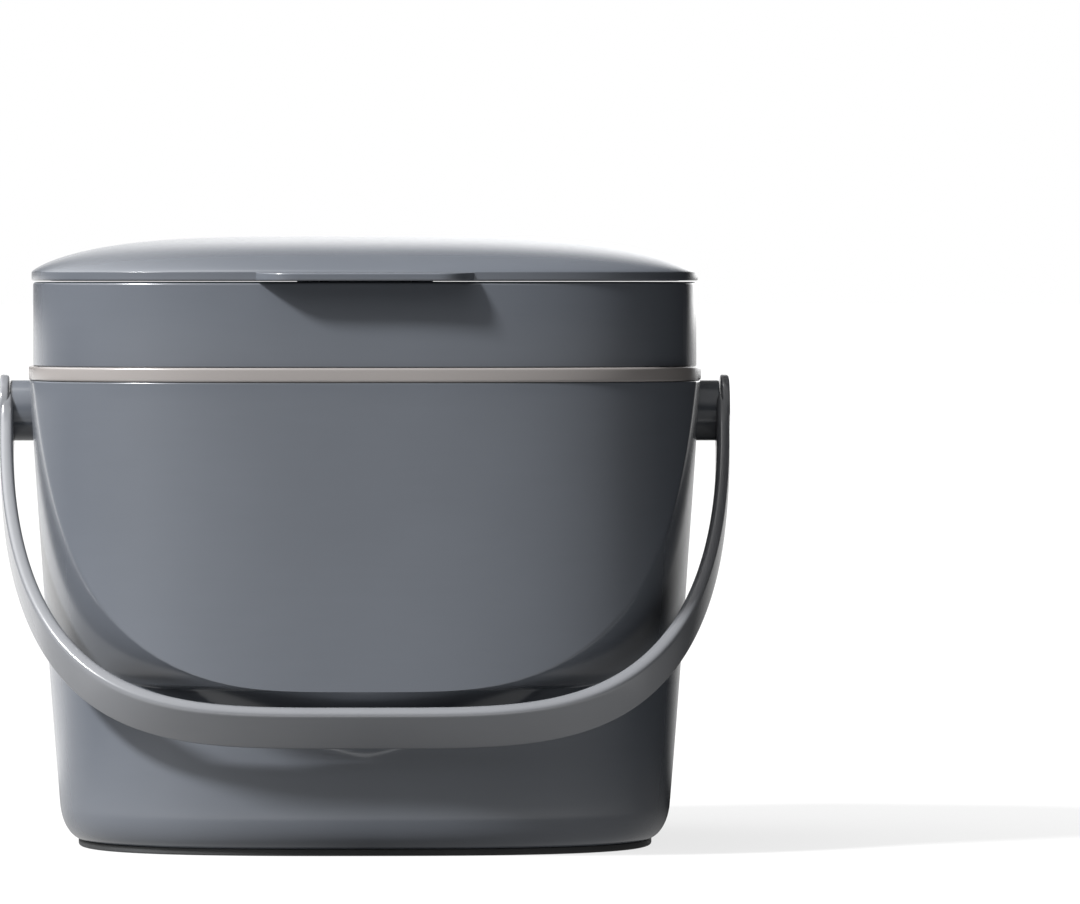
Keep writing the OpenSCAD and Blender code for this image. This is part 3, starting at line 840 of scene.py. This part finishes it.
def swing(points, angle):
    """Turns points about X by angle and lifts them from the origin to the pivot."""
    c, s = math.cos(angle), math.sin(angle)
    x, y, z = np.moveaxis(points, -1, 0)
    return np.stack([x, y * c - z * s, y * s + z * c + PIVOT_Z], axis=-1)


def eye_profile(sizes, side):
    """(radius, x) of an eye and its pivot pin, from the pin's end to the eye's outer face."""
    inner = ARM_OUT - sizes.eye_thickness
    tip = inner - sizes.pin_length
    pin, rim = sizes.pin_radius, sizes.eye_radius
    profile = np.concatenate([
        [(pin * 0.5, tip)],
        corner((0, tip), (pin, tip), (pin, inner), PIN_TIP_ROUND, 4),
        corner((pin, tip), (pin, inner), (rim, inner), PIN_ROOT_ROUND, 3),
        corner((pin, inner), (rim, inner), (rim, ARM_OUT), sizes.eye_round, 5),
        corner((rim, inner), (rim, ARM_OUT), (0, ARM_OUT), sizes.eye_round, 7),
        [(rim * 0.5, ARM_OUT - EYE_FACE_DIP)],
    ])
    return profile * (1, side)


class CADDY_OT_handle(bpy.types.Operator):
    """Build the handle: a band bent into a bail, with an eye and a pivot pin at each end"""

    bl_idname = "caddy.handle"
    bl_label = "Handle"

    def execute(self, context):
        sizes = context.scene.caddy_handle
        rest_angle = math.asin((PIVOT_Z - sizes.rest_z) / sizes.reach)
        half = sizes.band_thickness / 2
        psi = math.pi / 2 * np.sin(np.linspace(math.pi / 2, -math.pi / 2, BAIL_ROWS))
        inner = bail_curve(psi, ARM_OUT - sizes.band_thickness, sizes.reach - half)[:, None]
        outer = bail_curve(psi, ARM_OUT, sizes.reach + half)[:, None]
        share, width = band_section(sizes)
        plane = inner + (outer - inner) * share[None, :, None]
        height = width[None, :, None] * eye_blend(sizes, -plane[..., 1:])
        band = np.concatenate([plane, height], axis=-1)
        handle = capped_surface("handle_bail", swing(band, rest_angle))
        radius, eye_in = sizes.pocket_radius, ARM_OUT - sizes.eye_thickness
        pocket = [(radius / 2, -eye_in), (radius, -eye_in), (radius, eye_in), (radius / 2, eye_in)]
        drill = lathe("pocket", np.array(pocket), (0, PIVOT_Z), BOSS_COLUMNS)
        join_solids(handle, drill, "DIFFERENCE")
        for side in (-1, 1):
            eye = lathe("eye", eye_profile(sizes, side), (0, PIVOT_Z), BOSS_COLUMNS)
            join_solids(handle, eye, "UNION")
        # Painted light: the handle's finish is the charcoal plastic painted a shade lighter, in place of the
        # light from below that brightens it
        rgb = context.scene.caddy_finish.handle
        plastic = moulded_plastic("handle_lit_charcoal_moulding", rgb, **CHARCOAL_SKIN)
        dress(handle, plastic, "handle_body", "handle")
        return {"FINISHED"}


# ---------------------------------------------------------------- bag ring

RING_COLUMNS = 400
HOLE_COLUMNS = 144
FEATURE_EASE = 0.35 * MM
FEATURE_INSET = 2.5 * MM
FEATURE_SPREAD = 1.6
FEATURE_COLUMNS = 7
ANGLE_SAMPLES = 4000
LEAST_STEP = 1e-4
SKIRT_FOOT_ROUND = 0.5 * MM
SKIRT_TOP_ROUND = 0.25 * MM
WALL_FOOT_ROUND = 0.75 * MM
CROWN_ROUND = 0.55 * MM
LINING_FOOT_ROUND = 0.4 * MM
WALL_FROM = 0.8 * MM
WALL_TO = 0.7 * MM
TAB_FROM = 0.1 * MM
FRAME_ROUND = 0.48 * MM
FRAME_BEHIND = 0.25 * MM
DRILL_FROM, DRILL_TO = 0.8, 1.2


def ring_inset(ring, z):
    """How far the upper wall stands in at height z: two parabolas that meet at the waist."""
    waist_z = FLANGE_TOP_Z + ring.waist_height
    fall = (waist_z - z) / ring.waist_height
    low = ring.waist_inset - (ring.waist_inset - ring.foot_inset) * fall**2
    rise = (z - waist_z) / (RING_TOP_Z - waist_z)
    high = ring.waist_inset - (ring.waist_inset - ring.top_inset) * rise**2
    return np.where(z < waist_z, low, high)


def feature_columns(sizes, places):
    """Even columns, with a cluster of columns where the front passes each distance in places."""
    even = even_turn(RING_COLUMNS)
    quarter = np.linspace(0, math.pi / 2, ANGLE_SAMPLES)
    across = rim_radius(sizes, quarter, FEATURE_INSET) * np.cos(quarter)
    spread = np.linspace(-1, 1, FEATURE_COLUMNS) * FEATURE_EASE * FEATURE_SPREAD
    wanted = (np.asarray(places)[:, None] + spread).ravel()
    angle = np.interp(-wanted, -across, quarter)
    extra = np.concatenate([angle, math.pi - angle, math.pi + angle, TAU - angle])
    merged = np.sort(np.concatenate([even, extra]))
    return merged[np.concatenate([[True], np.diff(merged) > LEAST_STEP])]


def ring_profile(ring):
    """(inset, height) round the ring's section, up the outside and down the inside."""
    skirt_in = ring.skirt_inset + ring.skirt_taper
    over, top = -ring.flange_over, FLANGE_TOP_Z
    low_out, low_in = (skirt_in, SKIRT_LOW_Z), (skirt_in + ring.wall, SKIRT_LOW_Z)
    under, foot = (ring.skirt_inset, RIM_Z), (ring.foot_inset, top)
    lip_low, lip_top = (over, RIM_Z), (over, top)
    crown_out, crown_in = (ring.top_inset, RING_TOP_Z), (ring.top_inset + ring.wall, RING_TOP_Z)
    bead_ease = np.linspace(-1, 1, 6) * FEATURE_EASE
    beads = np.concatenate([ring.bead_low + bead_ease, ring.bead_high + bead_ease])
    bead_fall = (RIM_Z - beads) / (RIM_Z - SKIRT_LOW_Z)
    skirt = np.stack([ring.skirt_inset + ring.skirt_taper * bead_fall, beads], axis=-1)
    rows = np.sort(np.concatenate([
        between(top + WALL_FROM, RING_TOP_Z - WALL_TO, 26),
        top + ring.tab_height + np.linspace(-1, 1, 7) * FEATURE_EASE,
    ]))
    wall = np.stack([ring_inset(ring, rows), rows], axis=-1)
    inner_rows = between(top, RING_TOP_Z - WALL_TO, 18)[::-1]
    lining = np.stack([ring_inset(ring, inner_rows) + ring.wall, inner_rows], axis=-1)
    inner_skirt = (ring.skirt_inset + ring.wall, RIM_Z)
    return np.concatenate([
        corner(low_in, low_out, under, SKIRT_FOOT_ROUND),
        skirt,
        corner(low_out, under, lip_low, SKIRT_TOP_ROUND, 4),
        corner(under, lip_low, lip_top, ring.flange_round),
        corner(lip_low, lip_top, foot, ring.flange_round),
        corner(lip_top, foot, wall[0], WALL_FOOT_ROUND),
        wall,
        corner(wall[-1], crown_out, crown_in, CROWN_ROUND),
        corner(crown_out, crown_in, lining[0], CROWN_ROUND),
        lining,
        corner(lining[-1], inner_skirt, low_in, LINING_FOOT_ROUND, 3),
        corner(inner_skirt, low_in, low_out, SKIRT_FOOT_ROUND),
    ])


def ring_relief(ring, grid, profile):
    """How far the beads and tabs push the outer faces out: eased plateaus in height and across."""
    x, z = np.abs(grid[..., 0]), grid[..., 2]

    def plateau(value, low, high):
        started = smooth_step((value - low) / FEATURE_EASE + 0.5)
        return started * smooth_step((high - value) / FEATURE_EASE + 0.5)

    across = plateau(x, ring.bead_from, ring.bead_to)
    bead = ring.bead_out * plateau(z, ring.bead_low, ring.bead_high) * across
    rise = z - FLANGE_TOP_Z
    half = ring.tab_half_width - ring.tab_slope * np.clip(rise / ring.tab_height, 0, 1)
    stand = np.maximum(profile[:, :1] - ring.foot_inset, 0)
    tab = stand * plateau(x, -1, half) * plateau(rise, TAB_FROM, ring.tab_height)
    return bead + tab


def hole_frame_grid(sizes, ring, side):
    """A rounded frame lining a bag hole: a loop in (radius, depth) turned about it, bent to the wall."""
    hole, rim = ring.hole_radius, ring.hole_radius + ring.hole_frame
    front, back = ring.hole_frame_out, -ring.wall - FRAME_BEHIND
    corners = [(rim, front), (hole, front), (hole, back), (rim, back)]
    loop = rounded_outline(corners, [FRAME_ROUND] * 4, 7)
    turn = even_turn(HOLE_COLUMNS)
    x = loop[:, :1] * np.cos(turn)
    z = FLANGE_TOP_Z + ring.hole_rise + loop[:, :1] * np.sin(turn)
    inset = ring_inset(ring, z)
    bulge = (1 - (np.abs(x) / (sizes.panel_half_span - inset)) ** CURVE_POWER) ** (1 / CURVE_POWER)
    y = (sizes.rim_half_depth - inset) * bulge + loop[:, 1:]
    return np.stack([x, side * y, z], axis=-1)


class CADDY_OT_bag_ring(bpy.types.Operator):
    """Build the bag ring with its flange, corner beads, tabs and framed bag holes"""

    bl_idname = "caddy.bag_ring"
    bl_label = "Bag ring"

    def execute(self, context):
        sizes, ring = context.scene.caddy_bucket, context.scene.caddy_ring
        tab = ring.tab_half_width - ring.tab_slope / 2
        phi = feature_columns(sizes, [tab, ring.bead_from, ring.bead_to])
        profile = ring_profile(ring)
        grid = place(rim_radius(sizes, phi, profile[:, :1]), phi, profile[:, 1:])
        outside = len(profile) - np.argmax(profile[::-1, 1])
        relief = ring_relief(ring, grid, profile) * (np.arange(len(profile)) < outside)[:, None]
        grid[..., 1] += np.sign(grid[..., 1]) * relief * np.abs(np.sin(phi))
        grid[..., 0] += np.sign(grid[..., 0]) * relief * np.abs(np.cos(phi))
        body = loop_surface("bag_ring_shell", grid)
        middle = FLANGE_TOP_Z + ring.hole_rise
        for side in (-1, 1):
            radius = ring.hole_radius + ring.hole_frame / 2
            join_solids(body, wall_drill(radius, middle, side, sizes.rim_half_depth), "DIFFERENCE")
            lining = loop_surface("hole_frame", hole_frame_grid(sizes, ring, side))
            join_solids(body, lining, "UNION")
        rgb = context.scene.caddy_finish.taupe
        plastic = moulded_plastic("taupe_moulding", rgb, **TAUPE_SKIN)
        dress(body, plastic, "ring_body", "bag_ring")
        return {"FINISHED"}


def wall_drill(radius, height, side, depth):
    """A short round bar along Y that reaches through one wall of the ring."""
    turn = even_turn(HOLE_COLUMNS)
    along = side * depth * np.array([DRILL_FROM, DRILL_FROM, DRILL_TO, DRILL_TO])[:, None]
    spread = np.array([0.5, 1, 1, 0.5])[:, None] * radius
    x, z = spread * np.cos(turn), height + spread * np.sin(turn)
    return capped_surface("drill", np.stack([x, np.broadcast_to(along, x.shape), z], axis=-1))


# ---------------------------------------------------------------- collar, hinge and lid

COLLAR_COLUMNS = 480
LID_COLUMNS = 720
COLLAR_ROUND = 0.5 * MM
COLLAR_FOOT_ROUND = 0.35 * MM
LUG_SINK = 0.6 * MM
SEAL_TIP_ROUND = 0.8 * MM
SEAL_ROOT_ROUND = 0.2 * MM
TONGUE_SINK = 0.3 * MM
TONGUE_TOP = 4 * MM
TONGUE_FOOT = 2.5 * MM


def bored_prism(name, outline, bore, low, high, ease):
    """A solid along X with a (y, z) outline, eased ends and a round bore about the hinge axis."""
    centre = np.array([HINGE_Y, HINGE_Z])
    arm = outline - centre
    reach = np.linalg.norm(arm, axis=1, keepdims=True)
    drawn_in = centre + arm * (1 - ease / reach)
    nearly_out = centre + arm * (1 - ease / 3 / reach)
    mouth = centre + arm / reach * (bore + ease / 2)
    throat = centre + arm / reach * bore
    rows = [
        (drawn_in, low),
        (nearly_out, low + ease / 3),
        (outline, low + ease),
        (outline, high - ease),
        (nearly_out, high - ease / 3),
        (drawn_in, high),
        (mouth, high),
        (throat, high - ease / 2),
        (throat, low + ease / 2),
        (mouth, low),
    ]
    grid = np.stack([np.insert(points, 0, x, axis=1) for points, x in rows])
    return loop_surface(name, grid)


def hinge_arc(start, end, radius, count):
    """Points of an arc about the hinge axis, from one angle to another in degrees."""
    angle = np.radians(np.linspace(start, end, count))
    return np.stack([HINGE_Y + radius * np.cos(angle), HINGE_Z + radius * np.sin(angle)], axis=-1)


class CADDY_OT_lid_collar(bpy.types.Operator):
    """Build the collar with its deck and the two lugs that hold the hinge pin"""

    bl_idname = "caddy.lid_collar"
    bl_label = "Lid collar"

    def execute(self, context):
        sizes, lid = context.scene.caddy_bucket, context.scene.caddy_lid
        out = lid.collar_inset
        wall_in, deck_in = out + lid.collar_wall, out + lid.deck_width
        low, top = FLANGE_TOP_Z, SEAL_LOW_Z - lid.seal_gap
        deck = top - lid.deck_thickness
        outer, inner = [(out, low), (out, top)], [(wall_in, deck), (wall_in, low)]
        corners = outer + [(deck_in, top), (deck_in, deck)] + inner
        cuts = [COLLAR_ROUND, lid.deck_round] + [COLLAR_ROUND] * 3 + [COLLAR_FOOT_ROUND]
        profile = rounded_outline(corners, cuts)
        phi = even_turn(COLLAR_COLUMNS)
        grid = place(rim_radius(sizes, phi, profile[:, :1]), phi, profile[:, 1:])
        collar = loop_surface("lid_collar_shell", grid)
        root = sizes.rim_half_depth - out - lid.collar_wall / 2
        side = lid.knuckle_radius * math.cos(math.pi / 4)
        slant_y, slant_z = HINGE_Y + side, HINGE_Z - side
        wall_low = slant_z - (slant_y - root)
        web = [(root, deck + LUG_SINK), (root, (deck + wall_low) / 2), (root, wall_low)]
        slope = np.stack([between(root, slant_y, 5), between(wall_low, slant_z, 5)], axis=-1)
        outline = np.concatenate([hinge_arc(-45, 186, lid.knuckle_radius, 34), web, slope])
        near = lid.knuckle_half + lid.lug_gap
        for low_x, high_x in ((-PIN_HIGH.x, -near), (near, PIN_HIGH.x)):
            lug = bored_prism("lug", outline, lid.lug_bore, low_x, high_x, lid.hinge_round)
            join_solids(collar, lug, "UNION")
        dress(collar, charcoal_plastic(context), "collar_body", "lid_collar")
        return {"FINISHED"}


class CADDY_OT_hinge_pin(bpy.types.Operator):
    """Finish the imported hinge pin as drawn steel"""

    bl_idname = "caddy.hinge_pin"
    bl_label = "Hinge pin"

    def execute(self, context):
        pin = frame["nodes"]["hinge_pin"]
        pin.data.materials.clear()
        pin.data.materials.append(drawn_steel("pin_steel", context.scene.caddy_finish.steel))
        return {"FINISHED"}


DOME_FLATNESS = 4
DOME_SHOULDER = 0.75
UNDER_SHARES = np.array([0.03, 0.15, 0.3, 0.45, 0.58, 0.7, 0.8, 0.88, 0.94, 0.98, 1.0])
SHOULDER_SHARES = (1.0, 0.9998, 0.9992, 0.9982)
HOLLOW_ROUND = 0.3 * MM
LAND_IN = 2.2 * MM
GROOVE_TOP_ROUND = 0.2 * MM
GROOVE_LOW_ROUND = 0.3 * MM
LIP_ROOT_IN = 0.6 * MM
LIP_TOP_DROP = 0.16 * MM


def dome_top(share, foot_z):
    """Height of the dome where the outline is scaled by share: foot + height (1 - s^4)^0.75."""
    return foot_z + (LID_TOP_Z - foot_z) * (1 - share**DOME_FLATNESS) ** DOME_SHOULDER


def lip_reach(lid, x):
    """How far the lip stands out at distance x from its middle: reach (1 - (1 - t)^3) near its ends."""
    t = np.clip((lid.lip_half_width - np.abs(x)) / lid.lip_run, 0, 1)
    return lid.lip_out * (1 - (1 - t) ** 3)


def lid_low_z(lid):
    """Height of the underside of the lid's edge, a gap above the collar's deck."""
    return SEAL_LOW_Z - lid.seal_gap + lid.lid_gap


def lid_rows(sizes, lid):
    """Inset, scale, height and share of the lip for each row, from inside the dome round to its top."""
    lid_z = lid_low_z(lid)
    foot_z = lid_z + lid.edge_thickness
    edge_in, groove = lid.lid_inset, lid.lid_inset + lid.groove_in
    half = sizes.rim_half_width - edge_in
    hollow = (half - lid.hollow_in) / half
    top_z = foot_z - LIP_TOP_DROP
    ease = lid.edge_round
    lip_ease = ease / lid.lip_out

    def wall(points, lip):
        return [(inset, 1.0, z, lip) for inset, z in points]

    groove_top, groove_low = (groove, SEAL_TOP_Z), (groove, lid_z)
    edge_low, edge_top = (edge_in, lid_z), (edge_in, top_z)
    shares = hollow * UNDER_SHARES
    rows = [(edge_in, s, z, 0.0) for s, z in zip(shares, dome_top(shares, foot_z) - lid.dome_wall)]
    rows += [(edge_in, hollow, SEAL_TOP_Z + HOLLOW_ROUND, 0.0)]
    land = (groove + LAND_IN, SEAL_TOP_Z)
    rows += wall([land], 0.0)
    rows += wall(corner(land, groove_top, groove_low, GROOVE_TOP_ROUND, 3), 0.0)
    rows += wall(corner(groove_top, groove_low, edge_low, GROOVE_LOW_ROUND, 3), 0.0)
    underside = between(groove - GROOVE_LOW_ROUND, edge_in + LIP_ROOT_IN, 7)
    rows += [(inset, 1.0, lid_z, t**1.5) for inset, t in zip(underside, between(0, 1, 7))]
    rows += wall(corner(groove_low, edge_low, edge_top, ease), 1.0)
    for t in np.linspace(0, 1, 7):
        rows.append((edge_in, 1.0, top_z - ease * (1 - t) ** 2, 1.0 - lip_ease * t**2))
    for t in between(0, 1, 11):
        rows.append((edge_in, 1.0, top_z + LIP_TOP_DROP * t**3, (1 - t) ** 1.2 * (1 - lip_ease)))
    dome = np.cos(np.linspace(0, math.pi / 2, 46)[1:-1]) ** 0.5
    dome = np.concatenate([SHOULDER_SHARES, dome[dome < min(SHOULDER_SHARES)], [0.02]])
    rows += [(edge_in, s, z, 0.0) for s, z in zip(dome, dome_top(dome, foot_z))]
    return np.array(rows)


class CADDY_OT_lid(bpy.types.Operator):
    """Build the domed lid with its opening lip, seal groove and hinge knuckle"""

    bl_idname = "caddy.lid"
    bl_label = "Lid"

    def execute(self, context):
        sizes, lid = context.scene.caddy_bucket, context.scene.caddy_lid
        rows = lid_rows(sizes, lid)
        inset, scale, z, lip = (rows[:, i : i + 1] for i in range(4))
        phi = even_turn(LID_COLUMNS)
        grid = place(scale * rim_radius(sizes, phi, inset), phi, z)
        edge = rim_radius(sizes, phi, lid.lid_inset) * np.cos(phi)
        front = np.sin(phi) < 0
        grid[..., 1] -= lip * lip_reach(lid, edge) * front
        shell = capped_surface("lid_shell", grid)
        lid_z, top = lid_low_z(lid), HINGE_Z + lid.knuckle_radius
        root = sizes.rim_half_depth - lid.lid_inset - lid.groove_in + TONGUE_SINK
        tongue = [(root + TONGUE_TOP, top), (root, top), (root, lid_z), (root + TONGUE_FOOT, lid_z)]
        outline = np.concatenate([hinge_arc(184, 450, lid.knuckle_radius, 40), tongue])
        half = lid.knuckle_half
        knuckle = bored_prism("knuckle", outline, lid.knuckle_bore, -half, half, lid.hinge_round)
        join_solids(shell, knuckle, "UNION")
        dress(shell, charcoal_plastic(context), "lid_body", "lid")
        return {"FINISHED"}


class CADDY_OT_lid_seal(bpy.types.Operator):
    """Build the soft seal in the lid's groove"""

    bl_idname = "caddy.lid_seal"
    bl_label = "Lid seal"

    def execute(self, context):
        sizes, lid = context.scene.caddy_bucket, context.scene.caddy_lid
        out, inner = lid.seal_inset, lid.seal_inset + lid.seal_width
        corners = [(out, SEAL_LOW_Z), (out, SEAL_TOP_Z), (inner, SEAL_TOP_Z), (inner, SEAL_LOW_Z)]
        cuts = [SEAL_TIP_ROUND, SEAL_ROOT_ROUND, SEAL_ROOT_ROUND, SEAL_TIP_ROUND]
        profile = rounded_outline(corners, cuts)
        phi = even_turn(COLLAR_COLUMNS)
        grid = place(rim_radius(sizes, phi, profile[:, :1]), phi, profile[:, 1:])
        seal = loop_surface("lid_seal_rubber", grid)
        rubber = matt_rubber("seal_skin", context.scene.caddy_finish.seal)
        dress(seal, rubber, "lid_body", "lid_seal")
        return {"FINISHED"}


# ---------------------------------------------------------------- studio

KEY_DIRECTION = Vector((-0.62, -0.40, 0.675))
FLOOR_HALF = 40.0
FLOOR_DROP = 0.05 * MM
FLOOR_GLOW = 0.78
SENSOR_WIDTH = 36.0
VIEW_END = 100.0
WHITE = (1.0, 1.0, 1.0, 1.0)

# Soft lights as (azimuth, half width, strength), in degrees, with 0 behind the caddy and 90 at its right
HIGH_LIGHT = ((-90, 90, 5.2), (180, 90, 0.9), (0, 90, 0.15))
LOW_LIGHT = ((12, 22, 3.3), (-10, 20, 0.2))
NEAR_PAPER = (
    (-135, 45, 0.9),
    (135, 45, 0.5),
    (180, 45, 0.3),
    (90, 45, 0.2),
    (-45, 45, 0.7),
    (-90, 45, 0.6),
)
FAR_PAPER = ((-45, 45, 1.3), (0, 45, 1.1), (-135, 45, 1.05), (180, 45, 0.6), (135, 45, 0.5))
RING_PAPER = ((-175, 90, 1.8),)

# Where the low light gives way to the high, as the height of a direction
HIGH_FROM = (0.2, 0.6)

# Distances from the middle, in metres: where far paper follows near, and where the lit ring starts and ends
FAR_FROM = (0.18, 0.34)
RING_FROM = (0.12, 0.14)
RING_TO = (0.18, 0.22)


def glow_round(across, depth, lights):
    """Strength of the lights at the azimuth of (across, depth): each falls evenly to 0 at its half width."""
    azimuth = across.math("ARCTAN2", across, depth) * math.degrees(1)
    total = 0
    for centre, half_width, strength in lights:
        off = azimuth - centre
        if abs(centre) + half_width > 180:
            off = off.math("WRAP", off, 180.0, -180.0)
        share = 1 - off.math("ABSOLUTE", off) * (1 / half_width)
        total = total + share.math("MAXIMUM", share, 0.0) * strength
    return total


def studio_floor(rgb):
    """White paper floor.

    The camera sees it glow, so that its shadow stays pale, and the caddy sees pools of light on it.
    """
    corners = np.array([(-1, -1), (1, -1), (1, 1), (-1, 1)]) * FLOOR_HALF
    mesh = bpy.data.meshes.new("studio_floor")
    mesh.from_pydata([(x, y, -FLOOR_DROP) for x, y in corners.tolist()], [], [(0, 1, 2, 3)])
    floor = bpy.data.objects.new("studio_floor", mesh)
    bpy.context.scene.collection.objects.link(floor)
    material, paint = new_finish("studio_paper")
    seen = paint.add("ShaderNodeLightPath", output="Is Camera Ray")
    spot = paint.position()
    x, y = (paint.add("ShaderNodeSeparateXYZ", {}, {"Vector": spot}, output=i) for i in range(2))
    reach = paint.add("ShaderNodeVectorMath", {"operation": "LENGTH"}, {0: spot}, output="Value")
    far = reach.ramp(*FAR_FROM)
    lit_ring = reach.ramp(*RING_FROM) * (1 - reach.ramp(*RING_TO))
    pools = glow_round(x, y, NEAR_PAPER) * (1 - far) + glow_round(x, y, FAR_PAPER) * far
    pools = pools + glow_round(x, y, RING_PAPER) * lit_ring
    paint.surface({
        "Base Color": paint.blend(seen, (0.0, 0.0, 0.0), rgb),
        "Roughness": 1.0,
        "Specular IOR Level": 0.0,
        "Emission Color": WHITE,
        "Emission Strength": seen * FLOOR_GLOW + (1 - seen) * pools,
    })
    mesh.materials.append(material)


def studio_world():
    """A white backdrop to the camera, and soft light round the room, high and low, to other rays."""
    world = bpy.data.worlds.new("studio_world")
    world.use_nodes = True
    bpy.context.scene.world = world
    paint = Paint(world.node_tree)
    direction = paint.add("ShaderNodeTexCoord", output="Generated")
    across, depth, height = (
        paint.add("ShaderNodeSeparateXYZ", {}, {"Vector": direction}, output=i) for i in range(3)
    )
    high = height.ramp(*HIGH_FROM)
    room = glow_round(across, depth, HIGH_LIGHT) * high
    room = room + glow_round(across, depth, LOW_LIGHT) * (1 - high)
    seen = paint.add("ShaderNodeLightPath", output="Is Camera Ray")
    strength = seen + room * (1 - seen)
    shader = paint.add("ShaderNodeBackground", {}, {"Color": WHITE, "Strength": strength})
    paint.add("ShaderNodeOutputWorld", {}, {"Surface": shader})


class CADDY_OT_studio(bpy.types.Operator):
    """Set up the floor, the light and the camera"""

    bl_idname = "caddy.studio"
    bl_label = "Studio"

    def execute(self, context):
        scene, studio = context.scene, context.scene.caddy_studio
        studio_floor(scene.caddy_finish.floor)
        studio_world()
        key = bpy.data.objects.new("key_light", bpy.data.lights.new("key_light", "SUN"))
        key.data.energy = studio.key_strength
        key.data.angle = studio.key_size
        key.rotation_euler = KEY_DIRECTION.to_track_quat("Z", "Y").to_euler()
        scene.collection.objects.link(key)
        camera = bpy.data.objects.new("camera", bpy.data.cameras.new("camera"))
        camera.data.sensor_width = SENSOR_WIDTH
        camera.data.lens = SENSOR_WIDTH * studio.camera_distance / studio.view_width
        camera.data.clip_end = VIEW_END
        camera.location = (0, -studio.camera_distance, studio.camera_height)
        aim = Vector((studio.aim_right, 0, studio.aim_height))
        camera.rotation_euler = (aim - camera.location).to_track_quat("-Z", "Y").to_euler()
        scene.collection.objects.link(camera)
        scene.camera = camera
        scene.view_settings.view_transform = "Standard"
        return {"FINISHED"}


# ---------------------------------------------------------------- add-on

OPERATORS = (
    CADDY_OT_bucket,
    CADDY_OT_base_pad,
    CADDY_OT_handle,
    CADDY_OT_bag_ring,
    CADDY_OT_lid_collar,
    CADDY_OT_hinge_pin,
    CADDY_OT_lid,
    CADDY_OT_lid_seal,
    CADDY_OT_studio,
)


class CADDY_PT_panel(bpy.types.Panel):
    """Lists the caddy's pieces and settings"""

    bl_idname = "CADDY_PT_panel"
    bl_label = "Compost caddy"
    bl_space_type = "VIEW_3D"
    bl_region_type = "UI"
    bl_category = "Caddy"

    def draw(self, context):
        for operator in OPERATORS:
            self.layout.operator(operator.bl_idname)
        for name, group in GROUPS.items():
            box = self.layout.box()
            box.label(text=name.replace("_", " ").capitalize())
            for setting in group.__annotations__:
                box.prop(getattr(context.scene, name), setting)


def register():
    for group in GROUPS.values():
        bpy.utils.register_class(group)
    for name, group in GROUPS.items():
        setattr(bpy.types.Scene, name, PointerProperty(type=group))
    for operator in OPERATORS:
        bpy.utils.register_class(operator)
    bpy.utils.register_class(CADDY_PT_panel)


def unregister():
    bpy.utils.unregister_class(CADDY_PT_panel)
    for operator in reversed(OPERATORS):
        bpy.utils.unregister_class(operator)
    for name, group in GROUPS.items():
        delattr(bpy.types.Scene, name)
        bpy.utils.unregister_class(group)


def main():
    """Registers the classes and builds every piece."""
    register()
    for operator in OPERATORS:
        group, name = operator.bl_idname.split(".")
        getattr(getattr(bpy.ops, group), name)()


if __name__ == "__main__":
    main()
